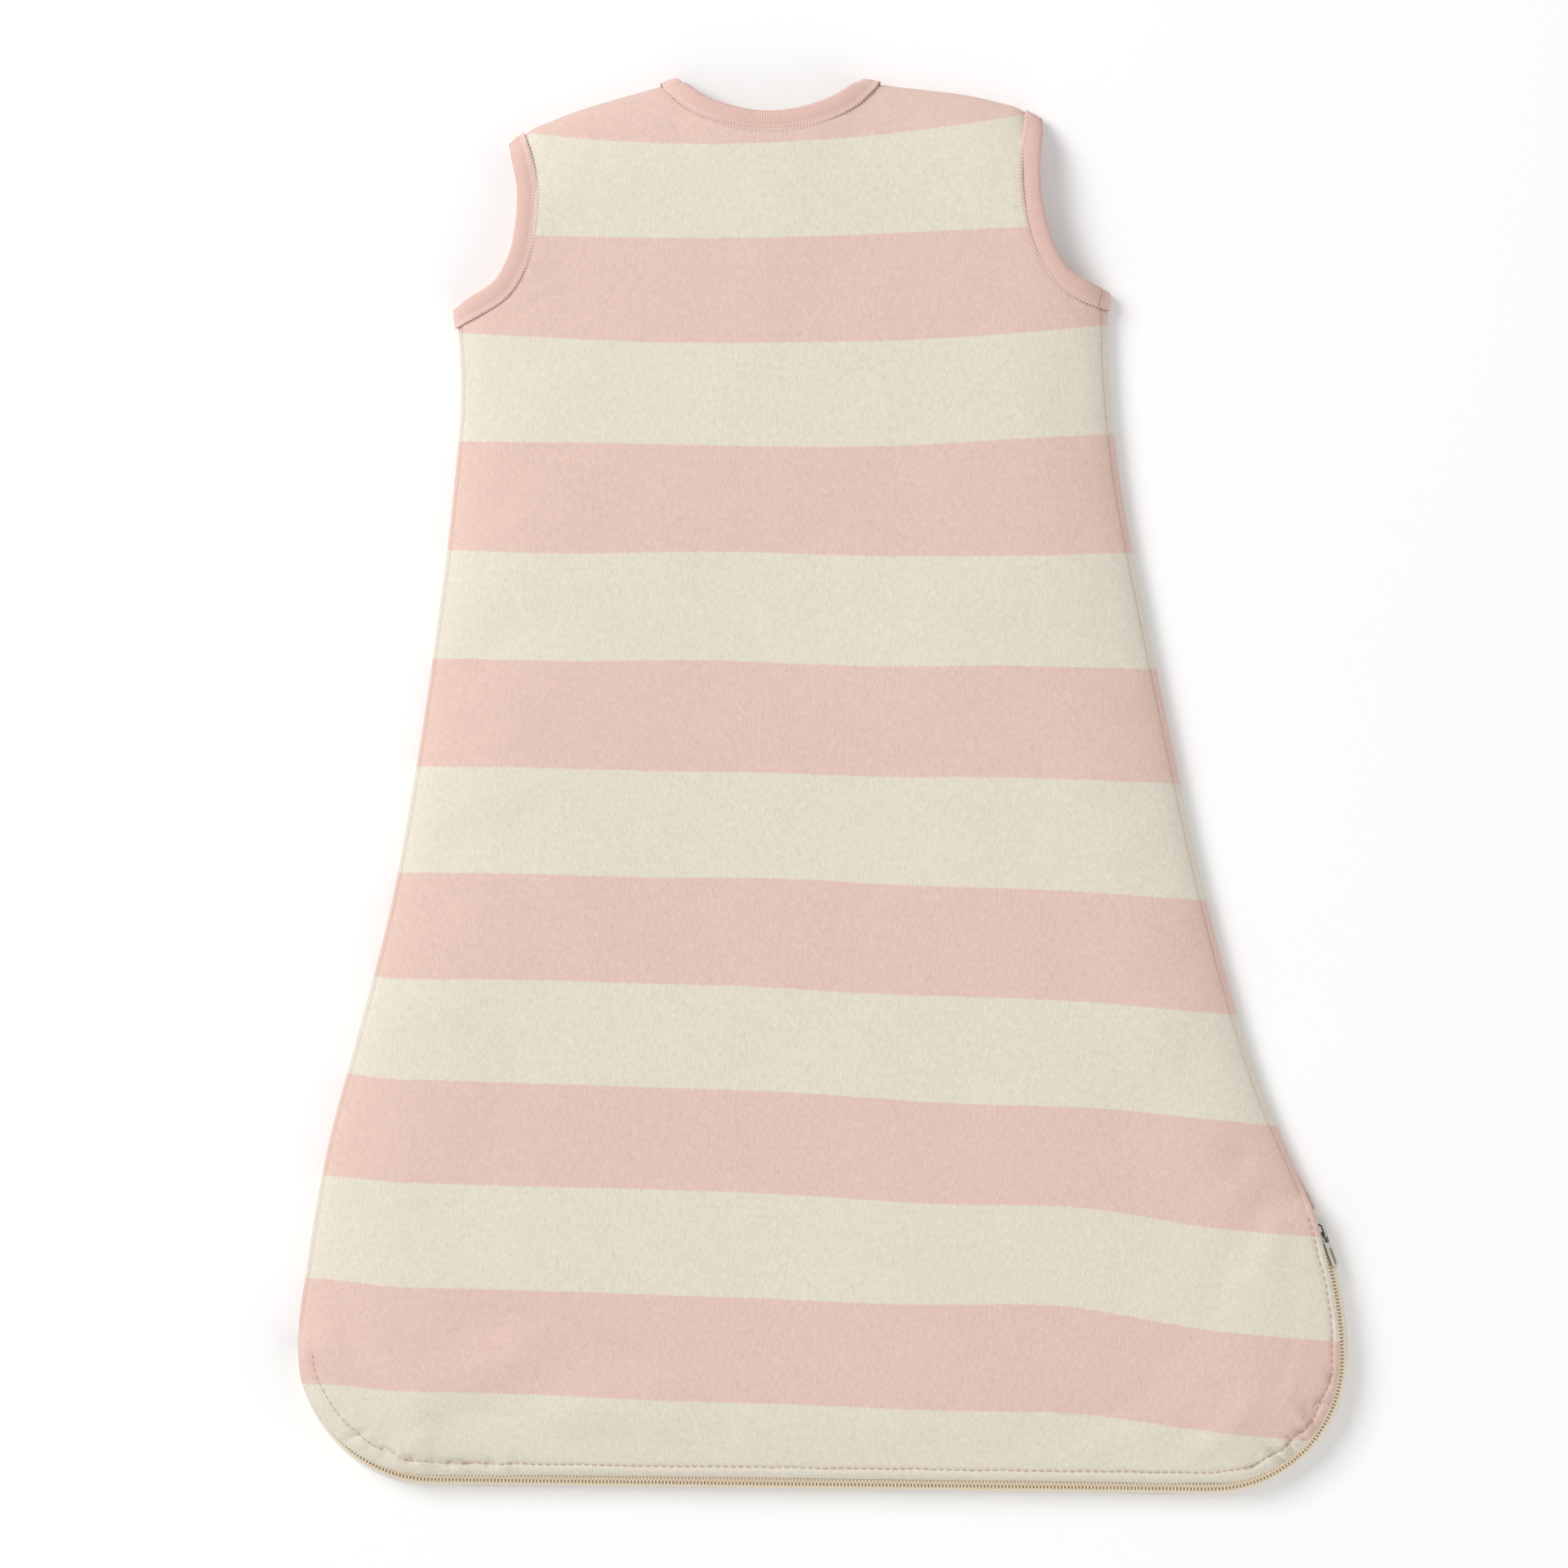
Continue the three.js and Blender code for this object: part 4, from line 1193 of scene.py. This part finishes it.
def innerGrid():
    columns, rows = panelNodes["columns"], panelNodes["rows"]
    t, r = parameterGrid([innerCuts] * columns, [innerCuts] * rows)
    arm, (neckFrom, neckTo) = panelNodes["underarm"], panelNodes["neck"]
    atSide = 1 - smooth((r - arm + 0.5) / 1.1)
    atShoulder = np.where(t < columns / 2, 1 - smooth(t - neckFrom + 0.6), smooth(t - neckTo + 0.4))
    t = atSide + (columns - 2 * atSide) * t / columns
    r = 1 + (rows - 1 - atShoulder) * r / rows
    return t, r


def stack(at):
    pinch = dome(at["open"] / mm / 12)
    padding = loft["wadding"] * dome(at["seam"] / mm / (2 * loft["inset"])) * (0.1 + 0.9 * pinch)
    return padding, 0.1 + 0.35 * pinch


def solidOf(points, height):
    return np.concatenate([points, height[..., None] * mm], -1)


def innerLayers(side, plan, outer, up):
    t, r = innerGrid()
    points = plan["place"](t, r)
    at = plan["field"](points)
    padding, gap = stack(at)
    rim = np.ones(t.shape)
    rim[[0, -1], :] = rim[:, [0, -1]] = 0
    shell = outer(points, at)
    near = shell - up * (loft["shell"] + gap)
    lumps = rim * (0.35 * wave(points, 11, 4.0) + 0.25 * wave(points, 27, 6.0))
    lumps = np.maximum(lumps * np.minimum(padding / 3, 1), -0.3 * padding)
    far = near - up * (padding * rim + lumps)
    under = shell - up * (loft["shell"] + 2 * gap + padding + 0.3)
    top, low = (near, far) if up > 0 else (far, near)
    bm = bmesh.new()
    for height, flip in ((top, False), (low, True)):
        mesh = gridMesh("leaf", solidOf(points, height), flip=flip)
        bm.from_mesh(mesh)
        bpy.data.meshes.remove(mesh)
    bmesh.ops.remove_doubles(bm, verts=[v for v in bm.verts if v.is_boundary], dist=0.02 * mm)
    mesh = meshOf(bm, "wadding")
    wadding = addPiece(side + "_padding", mesh, fibreFill, [side + "_wadding"])
    mesh = gridMesh("lining", solidOf(points, under), flip=up < 0)
    lining = addPiece(side + "_inner_cloth", mesh, liningCloth, [side + "_lining"])
    thicken(lining, loft["lining"])
    return wadding, lining


def fibreMaterial():
    material, make, shader = newMaterial("fibreFill", 0.95, sheen=0.2)
    place = make.place()
    strands = make.noise(make.stretched(place, (1, 0.25, 1)), 500.0, 5.0, 0.75)
    tufts = make.noise(place, 70.0, 3.0)
    height = make.plus(make.times(strands, 0.5), tufts)
    colour = make.mix(strands, srgb(226, 223, 215), clothColours["wadding"])
    make.link(colour, shader.inputs["Base Color"])
    bump(make, shader, height, 0.6)
    return material


fibreFill = fibreMaterial()
backFill, backInner = innerLayers("back", backPlan, backOuter, 1)
frontFill, frontInner = innerLayers("front", frontPlan, frontOuter, -1)

# Labels inside, soft tabs that curl a little
labels = {"neck_tab": ("neck_label", 0.5), "care_tab": ("care_label", 0.9)}


def labelMaterial():
    material, make, shader = newMaterial("satinLabel", 0.45, sheen=0.1)
    place = make.place()
    weave = make.bands(place, 900.0, "Y")
    tone = make.plus(make.times(weave, 0.4), make.times(make.noise(place, 300.0), 0.5))
    make.link(make.mix(tone, srgb(226, 221, 210), clothColours["label"]), shader.inputs["Base Color"])
    bump(make, shader, weave, 0.05)
    return material


satinLabel = labelMaterial()
for name, (node, curl) in labels.items():
    low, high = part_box(node)
    u, v = np.meshgrid(np.linspace(0, 1, 25), np.linspace(0, 1, 17))
    z = (low.z + high.z) / 2 + (curl * (u - 0.5) ** 2 + 0.2 * np.sin(5 * u + 2 * v) * v) * mm
    flat = np.stack([low.x + (high.x - low.x) * u, low.y + (high.y - low.y) * v, z], -1)
    tab = addPiece(name, gridMesh(name, flat), satinLabel, [node])
    thicken(tab, 0.35, 0.0)
print("inner layers and labels made")


# Plated metal of the slider, the pull and the stops, with rounded edges
def nickelMaterial():
    material, make, shader = newMaterial("platedNickel", 0.28, metallic=1.0)
    place = make.place()
    cloud = make.noise(place, 260.0, 4.0)
    scratch = make.noise(make.stretched(place, (1, 0.1, 1)), 1800.0, 2.0)
    colour = make.mix(cloud, srgb(172, 170, 166), srgb(214, 212, 208))
    make.link(colour, shader.inputs["Base Color"])
    rough = make.plus(0.2, make.times(scratch, 0.2))
    make.link(rough, shader.inputs["Roughness"])
    bump(make, shader, scratch, 0.01)
    return material


platedNickel = nickelMaterial()
metalParts = {  # the width of the rounding, in mm
    "slider_body": 0.22,
    "pull_tab": 0.28,
    "top_stop_back": 0.35,
    "top_stop_front": 0.35,
    "bottom_stop": 0.4,
}
for node, rounding in metalParts.items():
    metal = frame["nodes"][node]
    for materialSlot in metal.material_slots:
        materialSlot.material = platedNickel
    weld = metal.modifiers.new("weld", "WELD")
    weld.merge_threshold = 0.002 * mm
    bevel = metal.modifiers.new("bevel", "BEVEL")
    bevel.width, bevel.segments, bevel.limit_method = rounding * mm, 3, "ANGLE"
    bevel.angle_limit, bevel.harden_normals = math.radians(35), False

# Camera, straight above
view = {"width": 672, "middle": (-16.6, 1.75), "lens": 300, "sensor": 36, "plane": 8}
camera = newObject("camera", bpy.data.cameras.new("camera"))
camera.data.lens, camera.data.sensor_width = view["lens"], view["sensor"]
distance = view["width"] * mm * view["lens"] / view["sensor"]
camera.location = (view["middle"][0] * mm, view["middle"][1] * mm, distance + view["plane"] * mm)
bpy.context.scene.camera = camera

# Floor, and soft light from the upper left
bm = bmesh.new()
bmesh.ops.create_grid(bm, x_segments=2, y_segments=2, size=4)
floor = newObject("floor", meshOf(bm, "floor"))
floor.location.z = -0.1 * mm
floor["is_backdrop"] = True
floorPaint, make, shader = newMaterial("paleFloor", 0.9)
cloudy = make.noise(make.place(), 2.0)
make.link(make.mix(cloudy, (0.93, 0.93, 0.93, 1), (0.95, 0.95, 0.95, 1)), shader.inputs["Base Color"])
shader.inputs["Specular IOR Level"].default_value = 0.0
shader.inputs["Emission Color"].default_value = (1, 1, 1, 1)
shader.inputs["Emission Strength"].default_value = 0.07
floor.data.materials.append(floorPaint)

studio = {
    "sky": 0.48,
    "key": 126,
    "keyFrom": (-2.6, 1.9, 3.1),
    "keySize": 2.1,
    "fill": 22,
    "fillSize": 3.5,
    "fillFrom": (1.3, -1.7, 0.9),
}
world = bpy.data.worlds.new("studio")
world.use_nodes = True
world.node_tree.nodes["Background"].inputs[0].default_value = (1, 1, 1, 1)
world.node_tree.nodes["Background"].inputs[1].default_value = studio["sky"]
bpy.context.scene.world = world
for name, power, place, size in (
    ("key", studio["key"], studio["keyFrom"], studio["keySize"]),
    ("fill", studio["fill"], studio["fillFrom"], studio["fillSize"]),
):
    lamp = newObject(name, bpy.data.lights.new(name, "AREA"))
    lamp.data.energy, lamp.data.size = power, size
    lamp.location = place
    lamp.rotation_euler = (-Vector(place)).to_track_quat("-Z", "Y").to_euler()
bpy.context.scene.view_settings.view_transform = "Standard"

low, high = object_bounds()
